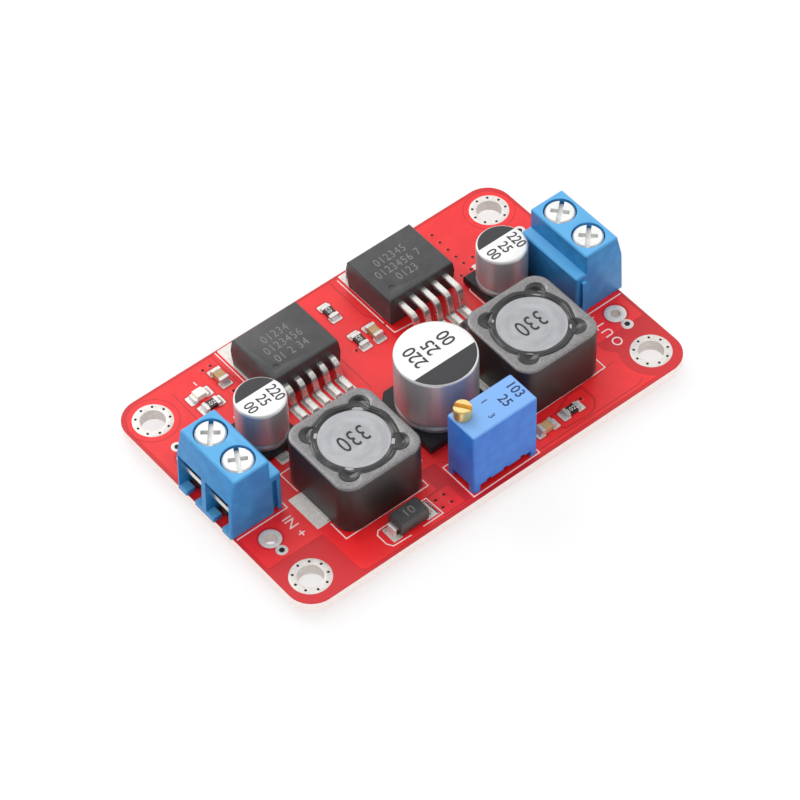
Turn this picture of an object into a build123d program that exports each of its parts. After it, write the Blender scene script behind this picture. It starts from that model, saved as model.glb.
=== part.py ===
from build123d import *
import math
import os

# Buck-boost converter module. Millimetres, +Z up, +X towards the output terminal.
# The origin is the centre of the four mounting holes, on the board's underside.

# Circuit board
board_width = 37.3
board_thickness = 1.6
board_corner_radius = 3.3
mount_inset_x = 3.5
mount_inset_y = 3.8
mount_hole_radius = 1.6
wire_pad_hole_radius = 0.85
wire_pad_gap = 2.65

# Leads through the board, cut off level below it so that the module stands on their tips
lead_protrusion = 1.5
lead_tip_chamfer = 0.15
lead_slot_clearance = 0.12
solder_height = 0.9
solder_foot_width = 0.55
solder_neck_width = 0.12

# Terminal blocks: the screw line is the local x = 0, the wire entries face +x
pole_pitch = 5.08
pole_count = 2
pole_wall = 0.78
block_height = 9.6
block_front = 3.55
block_back = 3.95
crown_front = 2.45
crown_back = 2.5
brow_front = 3.3
brow_height = 6.0
ledge_height = 6.6
front_wall = 1.0
back_wall = 1.55
lip_height = 0.75
lip_notch_width = 1.6
screw_shelf = 0.65
block_edge_chamfer = 0.18
dovetail_place = 2.95
dovetail_depth = 0.45
dovetail_neck = 0.45
dovetail_width = 0.75
dovetail_drop = 0.9
dovetail_clearance = 0.08
input_overhang = 0.25
output_overhang = 0.7

# Terminal screws, with the head level with the block's top
screw_head_radius = 1.87
screw_head_height = 1.35
screw_head_sink = 0.05
screw_head_chamfer = 0.2
screw_well_clearance = 0.16
screw_thread_radius = 1.25
screw_thread_play = 0.05
screw_tip_gap = 0.1
screw_shelf_clearance = 0.15
screw_slot_width = 0.6
screw_slot_depth = 0.7
screw_cross_length = 2.3
screw_slot_angles = [50.0, 60.0, 45.0, 40.0]

# Rising wire cages, shown fully lowered
cage_side_play = 0.3
cage_wall = 0.45
cage_nut = 0.8
cage_nut_chamfer = 0.2
cage_front_gap = 0.2
cage_back_gap = 0.4
cage_floor_gap = 0.25
cage_bar_depth = 1.4
cage_headroom = 0.1
cage_tongue_gap = 0.2

# Fixed contacts: a tongue through the cage, with a crossbar in front and a pin below
tongue_height = 4.05
tongue_thickness = 0.8
tongue_clearance = 0.3
crossbar_depth = 0.5
crossbar_step = 0.4
contact_pin_width = 1.0

# Multi-turn trimmer, its adjuster standing out of the top near one corner
trimmer_length = 9.53
trimmer_width = 4.83
trimmer_height = 10.03
trimmer_wall = 0.5
trimmer_roof = 0.9
trimmer_standoff = 1.05
trimmer_foot = 0.95
trimmer_edge_chamfer = 0.2
trimmer_base_thickness = 0.9
trimmer_pin_pitch = 2.54
trimmer_pin_width = 0.5
trimmer_pin_thickness = 0.35
trimmer_pin_rise = 0.5
pin_notch_width = 0.6
pin_notch_height = 0.3
adjuster_inset = 1.3
adjuster_radius = 1.095
adjuster_height = 1.7
adjuster_chamfer = 0.12
adjuster_seat_gap = 0.05
adjuster_slot_width = 0.6
adjuster_slot_angle = -56.0
adjuster_slot_depth = 0.65
adjuster_play = 0.05
worm_radius = 0.7
worm_pivot_depth = 0.5
worm_end_gap = 0.1
mesh_gap = 0.1
wheel_radius = 3.0
wheel_teeth = 30
wheel_tooth_depth = 0.3
wheel_thickness = 1.0
wheel_wall_gap = 0.3
axle_radius = 0.6
axle_seat = 0.25
axle_end_gap = 0.05
element_thickness = 0.6
element_margin = 0.25
wiper_thickness = 0.15
wiper_width = 0.7
wiper_tail = 1.2
wiper_root = 0.4
wiper_touch = 2.0
wiper_reach = 2.5
wiper_gap = 0.1
wiper_bend = 0.2

# Aluminium can capacitors, standing on square bases with two clipped corners
link_can_radius = 5.0
link_can_height = 9.8
link_base_width = 10.3
small_can_radius = 3.15
small_can_height = 7.5
small_base_width = 6.6
can_edge_chamfer = 0.3
can_crimp_depth = 0.3
can_crimp_height = 0.6
can_curl_height = 0.6
cap_base_height = 1.0
cap_base_clip = 1.3
cap_base_chamfer = 0.12
cap_lead_thickness = 0.2
cap_lead_width = 1.1
cap_lead_reach = 0.75
cap_lead_gap = 1.6

# Shielded inductors
inductor_width = 12.05
inductor_height = 7.7
inductor_corner_radius = 2.2
inductor_edge_chamfer = 0.3
shield_bore_radius = 5.1
shield_pocket_width = 2.6
shield_pocket_reach = 6.5
drum_radius = 4.65
drum_sink = 0.12
drum_flange = 1.5
drum_post_radius = 2.5
winding_radius = 4.3
winding_clearance = 0.05
winding_sides = 16
adhesive_depth = 1.2
adhesive_sink = 0.35
adhesive_clearance = 0.02
clip_thickness = 0.25
clip_width = 5.0
clip_reach = 0.3
clip_length = 2.6

# Regulators in tabbed five-lead packages
package_width = 9.9
package_depth = 8.5
package_height = 4.5
package_draft = 6.0
package_standoff = 0.1
package_edge_chamfer = 0.14
package_dimple_radius = 0.42
package_dimple_depth = 0.12
package_dimple_inset = 1.65
boost_lead_height = 2.65
boost_lead_straight = 1.0
boost_lead_drop = 0.6
boost_lead_foot = 2.0
buck_lead_height = 3.2
buck_lead_straight = 2.7
buck_lead_drop = 0.55
buck_lead_foot = 1.9
reg_lead_count = 5
reg_lead_pitch = 1.7
reg_lead_width = 0.8
reg_lead_thickness = 0.5
reg_lead_bend = 0.3
reg_lead_root = 0.6
tab_thickness = 1.27
tab_width = 9.0
tab_reach = 1.25
tab_overlap = 6.5
tab_corner_chamfer = 0.5
tab_notch_depth = 0.45
tab_notch_length = 0.9
tab_notch_gap = 0.15

# Diodes, all in the same moulded package
diode_length = 4.2
diode_width = 2.5
diode_height = 2.15
diode_draft = 7.0
diode_standoff = 0.2
diode_lead_width = 1.4
diode_lead_thickness = 0.2
diode_lead_reach = 0.4
diode_lead_fold = 1.1
diode_lead_bend = 0.12

# Chip parts and the power light
chip_length = 2.0
chip_width = 1.25
chip_capacitor_height = 0.9
chip_resistor_height = 0.5
chip_end_length = 0.42
chip_end_plating = 0.04
led_base_height = 0.35
led_lens_length = 1.35
led_lens_height = 0.45
led_lens_draft = 5.0

# Gaps along the main row: input block, boost inductor, link capacitor, buck inductor, output block
input_to_boost_gap = 2.825
boost_to_link_gap = 2.875
link_to_buck_gap = 1.375
buck_to_output_gap = 2.975
input_capacitor_gap = 1.24
output_capacitor_gap = 0.18

# Places across the board, and each part's place along it from the main part named with it
inductor_y = -7.43
link_y = -5.05
small_capacitor_y = 4.45
trimmer_place = ("link", -0.3, -15.45)
boost_regulator_place = ("boost", 4.62, 11.45)
buck_regulator_place = ("buck", -3.9, 12.2)
diode_places = [("boost", 0.75, -16.1, 0), ("boost", 2.35, 0.8, 0), ("buck", -0.95, 0.65, 0)]
chip_capacitor_places = [("boost", -2.65, 14.95, 90), ("link", 1.55, 8.5, 90), ("buck", -4.95, -15.85, 0)]
chip_resistor_places = [
    ("input", 6.85, 12.25, 0),
    ("link", -0.5, 14.45, 90),
    ("link", -0.5, 8.7, 90),
    ("buck", -0.95, -15.7, 0),
]
power_light_places = [("input", 6.6, 14.3, 0)]

# How far a cut runs past the face that it opens, and how far joined solids run into each other
cut_past = 1.0
join_depth = 0.1

# Derived heights and lengths
block_length = pole_count * pole_pitch
block_depth = block_front + block_back
entry_width = pole_pitch - pole_wall
head_seat = block_height - screw_head_sink - screw_head_height
chamber_top = head_seat - screw_shelf
chamber_front = brow_front - front_wall
chamber_back = block_back - back_wall
tongue_bottom = tongue_height - tongue_thickness
nut_bottom = tongue_height + cage_tongue_gap
cage_top = nut_bottom + cage_nut
cage_rise = chamber_top - cage_headroom - cage_top
crossbar_front = chamber_front + crossbar_step
cage_front = crossbar_front - crossbar_depth - cage_front_gap
cage_back = chamber_back - cage_back_gap
lead_tip = -board_thickness - lead_protrusion
cavity_top = trimmer_height - trimmer_roof
cavity_floor = trimmer_standoff + trimmer_base_thickness
cavity_half_length = trimmer_length / 2 - trimmer_wall
cavity_half_width = trimmer_width / 2 - trimmer_wall
adjuster_x = -trimmer_length / 2 + adjuster_inset
adjuster_y = trimmer_width / 2 - adjuster_inset
wheel_x = adjuster_x + worm_radius + mesh_gap + wheel_radius
wheel_z = (cavity_floor + cavity_top) / 2
wheel_back = cavity_half_width - wheel_wall_gap
wheel_front = wheel_back - wheel_thickness
element_face = -cavity_half_width + element_thickness

# The main row sets the board's length, with both blocks overhanging its ends
row_gaps = input_to_boost_gap + boost_to_link_gap + link_to_buck_gap + buck_to_output_gap
row_length = row_gaps + 2 * inductor_width + link_base_width
board_length = row_length + 2 * block_depth - input_overhang - output_overhang
mount_spacing_x = board_length - 2 * mount_inset_x
mount_spacing_y = board_width - 2 * mount_inset_y
input_x = -board_length / 2 - input_overhang + block_front
output_x = board_length / 2 + output_overhang - block_front
boost_x = input_x + block_back + input_to_boost_gap + inductor_width / 2
link_x = boost_x + inductor_width / 2 + boost_to_link_gap + link_base_width / 2
buck_x = output_x - block_back - buck_to_output_gap - inductor_width / 2
input_capacitor_x = input_x + block_back + input_capacitor_gap + small_base_width / 2
output_capacitor_x = output_x - block_back - output_capacitor_gap - small_base_width / 2
row_places = {"input": input_x, "boost": boost_x, "link": link_x, "buck": buck_x}


def block(x0, x1, y0, y1, z0, z1):
    """A box between two corners."""
    centre = Pos((x0 + x1) / 2, (y0 + y1) / 2, (z0 + z1) / 2)
    return centre * Box(x1 - x0, y1 - y0, z1 - z0)


def rod(x, y, z0, z1, radius):
    """An upright cylinder between two heights."""
    return Pos(x, y, (z0 + z1) / 2) * Cylinder(radius, z1 - z0)


def eased(points, ease):
    """A path with each of its corners cut across, at that distance from the corner."""
    corners = [Vector(x, 0, z) for x, z in points]
    path = [corners[0]]
    for before, corner, after in zip(corners, corners[1:], corners[2:]):
        path.append(corner + (before - corner).normalized() * ease)
        path.append(corner + (after - corner).normalized() * ease)
    return path + [corners[-1]]


def ribbon(points, width, thickness, bend):
    """A flat strip bent along a path in the XZ plane, its width across Y."""
    path = Polyline(*eased(points, bend))
    start = Plane(origin=path @ 0, x_dir=(0, 1, 0), z_dir=path % 0)
    return sweep(start * Rectangle(width, thickness), path=path, transition=Transition.RIGHT)


def pole_offsets():
    """The distance of each pole from the middle of its block."""
    return [(n - (pole_count - 1) / 2) * pole_pitch for n in range(pole_count)]


def terminal_places():
    """Where each block stands, and which way its wire entries face."""
    return {"input": (input_x, 180), "output": (output_x, 0)}


def on_block(terminal, shape):
    """Moves a shape from a block's own frame to its place on the board."""
    x, angle = terminal_places()[terminal]
    return Pos(x, 0, board_thickness) * Rot(0, 0, angle) * shape


def pole_names(terminal):
    """The poles in order along the block's own y, with plus at the board's near side."""
    names = ["minus", "plus"] if terminal == "input" else ["plus", "minus"]
    return list(zip(names, pole_offsets()))


def dovetail(clearance):
    """The interlocking rib of a block's lower-y end, or with clearance the groove for it."""
    neck = dovetail_neck / 2 + clearance
    head = dovetail_width / 2 + clearance
    depth = dovetail_depth + clearance
    outline = [(-neck, join_depth), (-head, -depth), (head, -depth), (neck, join_depth)]
    rib = extrude(make_face(Polyline(*outline, close=True)), amount=ledge_height - dovetail_drop)
    return Pos(-dovetail_place, -block_length / 2, 0) * rib


def outer_edges(body):
    """The block's outer edges above the board, without the inner corner of its step."""
    step = [e for e in body.edges().filter_by(Axis.Y) if abs(e.center().X + crown_back) < 0.01]
    inner = [e for e in step if abs(e.center().Z - ledge_height) < 0.01]
    return body.edges() - body.edges().group_by(Axis.Z)[0] - ShapeList(inner)


def terminal_housing():
    """One moulded block: stepped back, leaning brow, screw wells and wire entries."""
    profile = [
        (-block_back, 0),
        (-block_back, ledge_height),
        (-crown_back, ledge_height),
        (-crown_back, block_height),
        (crown_front, block_height),
        (brow_front, brow_height),
        (block_front, 0),
    ]
    side = Plane.XZ.offset(block_length / 2) * make_face(Polyline(*profile, close=True))
    body = extrude(side, amount=-block_length)
    body = chamfer(outer_edges(body), block_edge_chamfer)
    front = block_front + cut_past
    notch = lip_notch_width / 2
    for y in pole_offsets():
        y0, y1 = y - entry_width / 2, y + entry_width / 2
        body -= block(-chamber_back, chamber_front, y0, y1, -cut_past, chamber_top)
        body -= block(chamber_front - join_depth, front, y0, y1, lip_height, brow_height)
        body -= block(0, front, y - notch, y + notch, -cut_past, lip_height + join_depth)
        body -= rod(0, y, head_seat, block_height + cut_past, screw_head_radius + screw_well_clearance)
        shelf_radius = screw_thread_radius + screw_shelf_clearance
        body -= rod(0, y, chamber_top - cut_past, head_seat + join_depth, shelf_radius)
    groove = Pos(0, block_length, 0) * dovetail(dovetail_clearance)
    return body + dovetail(0) - groove


def terminal_contact(y):
    """A fixed contact: tongue, crossbar behind the wire entry, and pin through the board."""
    cage_inner = entry_width / 2 - cage_side_play - cage_wall
    half = cage_inner - tongue_clearance
    tongue = block(-chamber_back, crossbar_front, y - half, y + half, tongue_bottom, tongue_height)
    bar_back = crossbar_front - crossbar_depth
    y0, y1 = y - entry_width / 2, y + entry_width / 2
    crossbar = block(bar_back, crossbar_front, y0, y1, tongue_bottom, tongue_height)
    w, t = contact_pin_width / 2, tongue_thickness / 2
    pin = block(-t, t, y - w, y + w, lead_tip, tongue_bottom + join_depth)
    return tongue + crossbar + chamfer(pin.edges().group_by(Axis.Z)[0], lead_tip_chamfer)


def wire_cage(y):
    """A rising cage: threaded bar over the tongue, two side walls and the lifting bar."""
    half = entry_width / 2 - cage_side_play
    inner = half - cage_wall
    back, front = -cage_back - cut_past, cage_front + cut_past
    cage = block(-cage_back, cage_front, y - half, y + half, cage_floor_gap, cage_top)
    cage -= block(back, front, y - inner, y + inner, cage_floor_gap + cage_wall, nut_bottom)
    bar_back = cage_front - cage_bar_depth
    cage -= block(back, bar_back, y - inner, y + inner, cage_floor_gap - cut_past, nut_bottom)
    cage = chamfer(cage.edges().filter_by(Axis.X).group_by(Axis.Z)[-1], cage_nut_chamfer)
    bore = screw_thread_radius + screw_thread_play
    return cage - rod(0, y, nut_bottom - cut_past, cage_top + cut_past, bore)


def terminal_screw(y, slot_angle):
    """A slotted cross-recess screw with a flat cheese head."""
    head_top = head_seat + screw_head_height
    head = rod(0, 0, head_seat, head_top, screw_head_radius)
    head = chamfer(head.edges().group_by(Axis.Z)[-1], screw_head_chamfer)
    slot_floor = head_top - screw_slot_depth
    half = screw_slot_width / 2
    reach = screw_head_radius + cut_past
    head -= block(-reach, reach, -half, half, slot_floor, head_top + cut_past)
    arm = screw_cross_length / 2
    head -= block(-half, half, -arm, arm, slot_floor, head_top + cut_past)
    thread = rod(0, 0, tongue_height + screw_tip_gap, head_seat + join_depth, screw_thread_radius)
    return Pos(0, y, 0) * Rot(0, 0, slot_angle) * (head + thread)


def at_place(place, shape):
    """Moves a shape to its place on the board, measured from the main part named with it."""
    beside, x, y, *angle = place
    return Pos(row_places[beside] + x, y, board_thickness) * Rot(0, 0, sum(angle)) * shape


def trimmer_pin_offsets():
    """The three pins in line under the middle of the trimmer."""
    return [-trimmer_pin_pitch, 0, trimmer_pin_pitch]


def trimmer_case():
    """The moulded case: an open-bottomed shell on four corner feet, with an adjuster bore."""
    half_length, half_width = trimmer_length / 2, trimmer_width / 2
    case = block(-half_length, half_length, -half_width, half_width, 0, trimmer_height)
    outer = case.edges().filter_by(Axis.Z) + case.edges().group_by(Axis.Z)[-1]
    case = chamfer(outer, trimmer_edge_chamfer)
    x1, y1 = half_length + cut_past, half_width + cut_past
    arch = half_length - trimmer_foot
    case -= block(-arch, arch, -y1, y1, -cut_past, trimmer_standoff)
    foot_gap = half_width - trimmer_foot
    case -= block(-x1, x1, -foot_gap, foot_gap, -cut_past, trimmer_standoff)
    inner_x, inner_y = cavity_half_length, cavity_half_width
    case -= block(-inner_x, inner_x, -inner_y, inner_y, 0, cavity_top)
    notch = pin_notch_width / 2
    for x in trimmer_pin_offsets():
        case -= block(x - notch, x + notch, -y1, y1, 0, trimmer_standoff + pin_notch_height)
    top = trimmer_height + cut_past
    case -= rod(adjuster_x, adjuster_y, cavity_top - join_depth, top, worm_radius + adjuster_play)
    seat = Pos(wheel_x, cavity_half_width, wheel_z) * Rot(90, 0, 0)
    return case - seat * Cylinder(axle_radius + adjuster_play, 2 * axle_seat)


def trimmer_base():
    """The plate that closes the case, with the pin slots and the worm's lower bearing."""
    x1, y1 = cavity_half_length, cavity_half_width
    plate = block(-x1, x1, -y1, y1, trimmer_standoff + pin_notch_height, cavity_floor)
    w, t = trimmer_pin_width / 2, trimmer_pin_thickness / 2
    for x in trimmer_pin_offsets():
        plate -= block(x - w, x + w, -t, t, 0, cavity_floor + cut_past)
    bearing = worm_radius + adjuster_play
    return plate - rod(adjuster_x, adjuster_y, cavity_floor - worm_pivot_depth, cavity_floor + cut_past, bearing)


def trimmer_adjuster():
    """The brass adjuster: a slotted head on the worm, whose tip turns in the base plate."""
    top = trimmer_height + adjuster_height
    seat = trimmer_height + adjuster_seat_gap
    head = rod(0, 0, seat, top, adjuster_radius)
    head = chamfer(head.edges().group_by(Axis.Z)[-1], adjuster_chamfer)
    half = adjuster_slot_width / 2
    reach = adjuster_radius + cut_past
    head -= block(-reach, reach, -half, half, top - adjuster_slot_depth, top + cut_past)
    tip = cavity_floor - worm_pivot_depth + worm_end_gap
    worm = rod(0, 0, tip, seat + join_depth, worm_radius)
    return Pos(adjuster_x, adjuster_y, 0) * Rot(0, 0, adjuster_slot_angle) * (head + worm)


def trimmer_wheel():
    """The toothed wheel that the worm turns, with the axle that carries it."""
    outline = []
    for n in range(2 * wheel_teeth):
        radius = wheel_radius - (n % 2) * wheel_tooth_depth
        angle = math.pi * n / wheel_teeth
        outline.append((radius * math.cos(angle), radius * math.sin(angle)))
    wheel = extrude(make_face(Polyline(*outline, close=True)), amount=wheel_thickness / 2, both=True)
    axle_length = wheel_wall_gap + axle_seat - axle_end_gap
    axle = Pos(0, 0, -(wheel_thickness + axle_length) / 2) * Cylinder(axle_radius, axle_length)
    middle = Pos(wheel_x, (wheel_back + wheel_front) / 2, wheel_z) * Rot(90, 0, 0)
    return middle * (wheel + axle)


def trimmer_wiper():
    """The spring wiper on the wheel's face, reaching across to the ceramic plate."""
    contact_y = element_face + wiper_gap + wiper_thickness / 2
    seat_y = wheel_front - wiper_thickness / 2
    points = [(-wiper_tail, seat_y), (wiper_root, seat_y), (wiper_touch, contact_y), (wiper_reach, contact_y)]
    strip = ribbon(points, wiper_width, wiper_thickness, wiper_bend)
    return Pos(wheel_x, 0, wheel_z) * Rot(90, 0, 0).inverse() * strip


def trimmer_element():
    """The ceramic plate on the case wall, which the wiper runs over."""
    x0, x1 = wheel_x - wheel_radius, cavity_half_length - element_margin
    return block(x0, x1, -cavity_half_width, element_face, cavity_floor, cavity_top - element_margin)


def trimmer_pins():
    """Three flat pins, each with an arm that meets the ceramic plate above the base."""
    pins = []
    w, t = trimmer_pin_width / 2, trimmer_pin_thickness / 2
    arm = cavity_floor + trimmer_pin_rise
    for x in trimmer_pin_offsets():
        pin = block(x - w, x + w, -t, t, lead_tip, arm + t)
        pins.append(pin + block(x - w, x + w, element_face, t, arm - t, arm + t))
    return Compound(pins)


def capacitor_can(radius, height):
    """The drawn can: bevelled top edge, straight wall, and a crimp groove over the bottom curl."""
    seat = cap_lead_thickness + cap_base_height
    groove = seat + can_curl_height
    profile = [
        (0, 0, seat),
        (radius, 0, seat),
        (radius, 0, groove),
        (radius - can_crimp_depth, 0, groove + can_crimp_height / 2),
        (radius, 0, groove + can_crimp_height),
        (radius, 0, height - can_edge_chamfer),
        (radius - can_edge_chamfer, 0, height),
        (0, 0, height),
    ]
    return revolve(make_face(Polyline(*profile, close=True)), axis=Axis.Z)


def capacitor_base(width, clip):
    """The square moulded base with two clipped corners."""
    half = width / 2
    base = block(-half, half, -half, half, cap_lead_thickness, cap_lead_thickness + cap_base_height)
    base = chamfer(base.edges().filter_by(Axis.Z).group_by(Axis.X)[-1], clip)
    return chamfer(base.edges().group_by(Axis.Z)[-1], cap_base_chamfer)


def capacitor_leads(width, gap):
    """Two flat leads that run out from under the base."""
    half = cap_lead_width / 2
    lead = block(gap / 2, width / 2 + cap_lead_reach, -half, half, 0, cap_lead_thickness)
    return Compound([lead, Rot(0, 0, 180) * lead])


def shield_pockets():
    """The four pockets that open the shield's bore towards its corners."""
    length = shield_pocket_reach - drum_post_radius
    pocket = Pos(drum_post_radius + length / 2, 0) * Rectangle(length, shield_pocket_width)
    return [Rot(0, 0, 45 + 90 * n) * pocket for n in range(4)]


def inductor_shield():
    """The square ferrite shield round the drum."""
    outline = RectangleRounded(inductor_width, inductor_width, inductor_corner_radius)
    body = Pos(0, 0, clip_thickness) * extrude(outline, amount=inductor_height - clip_thickness)
    body = chamfer(body.edges().group_by(Axis.Z)[-1], inductor_edge_chamfer)
    bore = Circle(shield_bore_radius) + shield_pockets()
    return body - Pos(0, 0, -cut_past) * extrude(bore, amount=inductor_height + 2 * cut_past)


def inductor_drum():
    """The ferrite drum core: a post between two round flanges."""
    top = inductor_height - drum_sink
    post = rod(0, 0, clip_thickness + join_depth, top - join_depth, drum_post_radius)
    lower = rod(0, 0, clip_thickness, clip_thickness + drum_flange, drum_radius)
    return post + lower + rod(0, 0, top - drum_flange, top, drum_radius)


def inductor_winding():
    """The enamelled winding round the drum's post, as one many-sided ring."""
    z0, z1 = clip_thickness + drum_flange, inductor_height - drum_sink - drum_flange
    ring = RegularPolygon(winding_radius, winding_sides)
    ring -= RegularPolygon(drum_post_radius + winding_clearance, winding_sides, major_radius=False)
    return Pos(0, 0, z0) * extrude(ring, amount=z1 - z0)


def inductor_adhesive():
    """Four dabs of adhesive in the shield's pockets, which hold the drum in the middle."""
    z0 = inductor_height - adhesive_sink - adhesive_depth
    drum = Circle(drum_radius + adhesive_clearance)
    return Compound([Pos(0, 0, z0) * extrude(pocket - drum, amount=adhesive_depth) for pocket in shield_pockets()])


def inductor_clips():
    """The two tinned clips that carry the inductor on its pads."""
    x1 = inductor_width / 2 + clip_reach
    clip = block(x1 - clip_length, x1, -clip_width / 2, clip_width / 2, 0, clip_thickness)
    return Compound([clip, Rot(0, 0, 180) * clip])


def regulator_lead_offsets():
    """The five leads in line along the front of the package."""
    return [(n - (reg_lead_count - 1) / 2) * reg_lead_pitch for n in range(reg_lead_count)]


def regulator_leads(height, straight, drop, foot):
    """The row of leads, each out of the package's front and down to its foot."""
    half = reg_lead_thickness / 2
    front = package_depth / 2
    knee = front + straight
    ankle = knee + drop
    points = [(front - reg_lead_root, height), (knee, height), (ankle, half), (ankle + foot, half)]
    lead = ribbon(points, reg_lead_width, reg_lead_thickness, reg_lead_bend)
    return Compound([Rot(0, 0, -90) * Pos(0, y, 0) * lead for y in regulator_lead_offsets()])


def regulator_tab():
    """The cooling tab under the package, standing out at the back."""
    back = package_depth / 2
    half = tab_width / 2
    tab = block(-half, half, back - tab_overlap, back + tab_reach, 0, tab_thickness)
    tab = chamfer(tab.edges().filter_by(Axis.Z).group_by(Axis.Y)[-1], tab_corner_chamfer)
    y0 = back + tab_notch_gap
    notch = block(half - tab_notch_depth, half + cut_past, y0, y0 + tab_notch_length, -cut_past, 2 * tab_thickness)
    return tab - notch - mirror(notch, about=Plane.YZ)


def regulator_package(lead_height):
    """The moulded package: drafted above and below the leads, with a pin mark."""
    outline = Rectangle(package_width, package_depth)
    parting = Plane.XY.offset(lead_height)
    upper = extrude(parting * outline, amount=package_height - lead_height, taper=package_draft)
    upper = chamfer(upper.edges().group_by(Axis.Z)[-1], package_edge_chamfer)
    under = Plane(origin=(0, 0, lead_height), z_dir=(0, 0, -1))
    body = upper + extrude(under * outline, amount=lead_height - package_standoff, taper=package_draft / 2)
    body -= block(
        -tab_width / 2, tab_width / 2, package_depth / 2 - tab_overlap, package_depth, -cut_past, tab_thickness
    )
    w, t = reg_lead_width / 2, reg_lead_thickness / 2
    front = -package_depth / 2
    for x in regulator_lead_offsets():
        body -= block(x - w, x + w, front - cut_past, front + reg_lead_root, lead_height - t, lead_height + t)
    dimple_x = -package_width / 2 + package_dimple_inset
    dimple_y = front + package_dimple_inset
    floor = package_height - package_dimple_depth
    return body - rod(dimple_x, dimple_y, floor, package_height + cut_past, package_dimple_radius)


def diode_body():
    """A moulded diode package with drafted sides."""
    parting = (diode_height + diode_standoff) / 2
    outline = Rectangle(diode_length, diode_width)
    upper = extrude(Plane.XY.offset(parting) * outline, amount=diode_height - parting, taper=diode_draft)
    under = Plane(origin=(0, 0, parting), z_dir=(0, 0, -1))
    return upper + extrude(under * outline, amount=parting - diode_standoff, taper=diode_draft)


def diode_lead():
    """A lead folded down the end of the package and under it."""
    parting = (diode_height + diode_standoff) / 2
    half = diode_lead_thickness / 2
    x0 = diode_length / 2
    x1 = x0 + diode_lead_reach
    points = [(x0, parting), (x1, parting), (x1, half), (x1 - diode_lead_fold, half)]
    return ribbon(points, diode_lead_width, diode_lead_thickness, diode_lead_bend)


def chip_body(height):
    """The ceramic body of a chip part, inside its plated ends."""
    t = chip_end_plating
    half_length, half_width = chip_length / 2 - t, chip_width / 2 - t
    return block(-half_length, half_length, -half_width, half_width, t, height - t)


def chip_ends(height):
    """The plated ends, each wrapped over five sides of the body."""
    half = chip_width / 2
    shell = block(chip_length / 2 - chip_end_length, chip_length / 2, -half, half, 0, height)
    end = shell - chip_body(height)
    return [end, Rot(0, 0, 180) * end]


def power_light_base():
    """The light's flat base with its plated ends."""
    return block(-chip_length / 2, chip_length / 2, -chip_width / 2, chip_width / 2, 0, led_base_height)


def power_light_lens():
    """The light's moulded lens on its base."""
    outline = Rectangle(led_lens_length, chip_width)
    return extrude(Plane.XY.offset(led_base_height) * outline, amount=led_lens_height, taper=led_lens_draft)


def placed(places, shapes):
    """Copies of the shapes at each place on the board, as one group of solids."""
    return Compound([at_place(place, shape) for place in places for shape in shapes])


def lead_slots():
    """Where each lead passes the board: its middle, and its section along x and y."""
    slots = [(x, y, tongue_thickness, contact_pin_width) for x in (input_x, output_x) for y in pole_offsets()]
    beside, x0, y0 = trimmer_place
    for x in trimmer_pin_offsets():
        slots.append((row_places[beside] + x0 + x, y0, trimmer_pin_width, trimmer_pin_thickness))
    return slots


def board_holes():
    """The round holes of the board: place and radius."""
    holes = []
    for side_x in (-1, 1):
        for side_y in (-1, 1):
            holes.append((side_x * mount_spacing_x / 2, side_y * mount_spacing_y / 2, mount_hole_radius))
            x = input_x if side_x < 0 else output_x
            pad_y = block_length / 2 + wire_pad_gap
            holes.append((x, side_y * pad_y, wire_pad_hole_radius))
    return holes


def circuit_board():
    """The bare board with its mounting holes, wire pads and lead slots."""
    board = extrude(RectangleRounded(board_length, board_width, board_corner_radius), amount=board_thickness)
    top = board_thickness + cut_past
    for x, y, radius in board_holes():
        board -= rod(x, y, -cut_past, top, radius)
    for x, y, width, depth in lead_slots():
        half_x, half_y = width / 2 + lead_slot_clearance, depth / 2 + lead_slot_clearance
        board -= block(x - half_x, x + half_x, y - half_y, y + half_y, -cut_past, top)
    return board


def solder_joint(width, depth):
    """The solder under the board round one lead of that section, wider at the board."""
    foot_x, foot_y = width + 2 * solder_foot_width, depth + 2 * solder_foot_width
    inset = solder_foot_width - solder_neck_width
    cone = Wedge(foot_x, solder_height, foot_y, inset, inset, foot_x - inset, foot_y - inset)
    cone = Pos(0, 0, -solder_height / 2) * Rot(-90, 0, 0) * cone
    return cone - Box(width, depth, 4 * solder_height)


def solder_joints():
    """The soldered joints of every lead that passes through the board."""
    return Compound([Pos(x, y, 0) * solder_joint(width, depth) for x, y, width, depth in lead_slots()])


def terminal_nodes():
    """Every piece of both terminal blocks."""
    nodes = {}
    slot_angles = iter(screw_slot_angles)
    for terminal in terminal_places():
        nodes[terminal + "_terminal_housing"] = on_block(terminal, terminal_housing())
        for pole, y in pole_names(terminal):
            name = terminal + "_" + pole
            nodes[name + "_contact"] = on_block(terminal, terminal_contact(y))
            nodes[name + "_cage"] = on_block(terminal, wire_cage(y))
            nodes[name + "_screw"] = on_block(terminal, terminal_screw(y, next(slot_angles)))
    return nodes


def trimmer_nodes():
    """Every piece of the trimmer."""
    pieces = {
        "trimmer_case": trimmer_case(),
        "trimmer_base": trimmer_base(),
        "trimmer_adjuster": trimmer_adjuster(),
        "trimmer_wheel": trimmer_wheel(),
        "trimmer_wiper": trimmer_wiper(),
        "trimmer_element": trimmer_element(),
        "trimmer_pins": trimmer_pins(),
    }
    return {name: at_place(trimmer_place, shape) for name, shape in pieces.items()}


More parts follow.
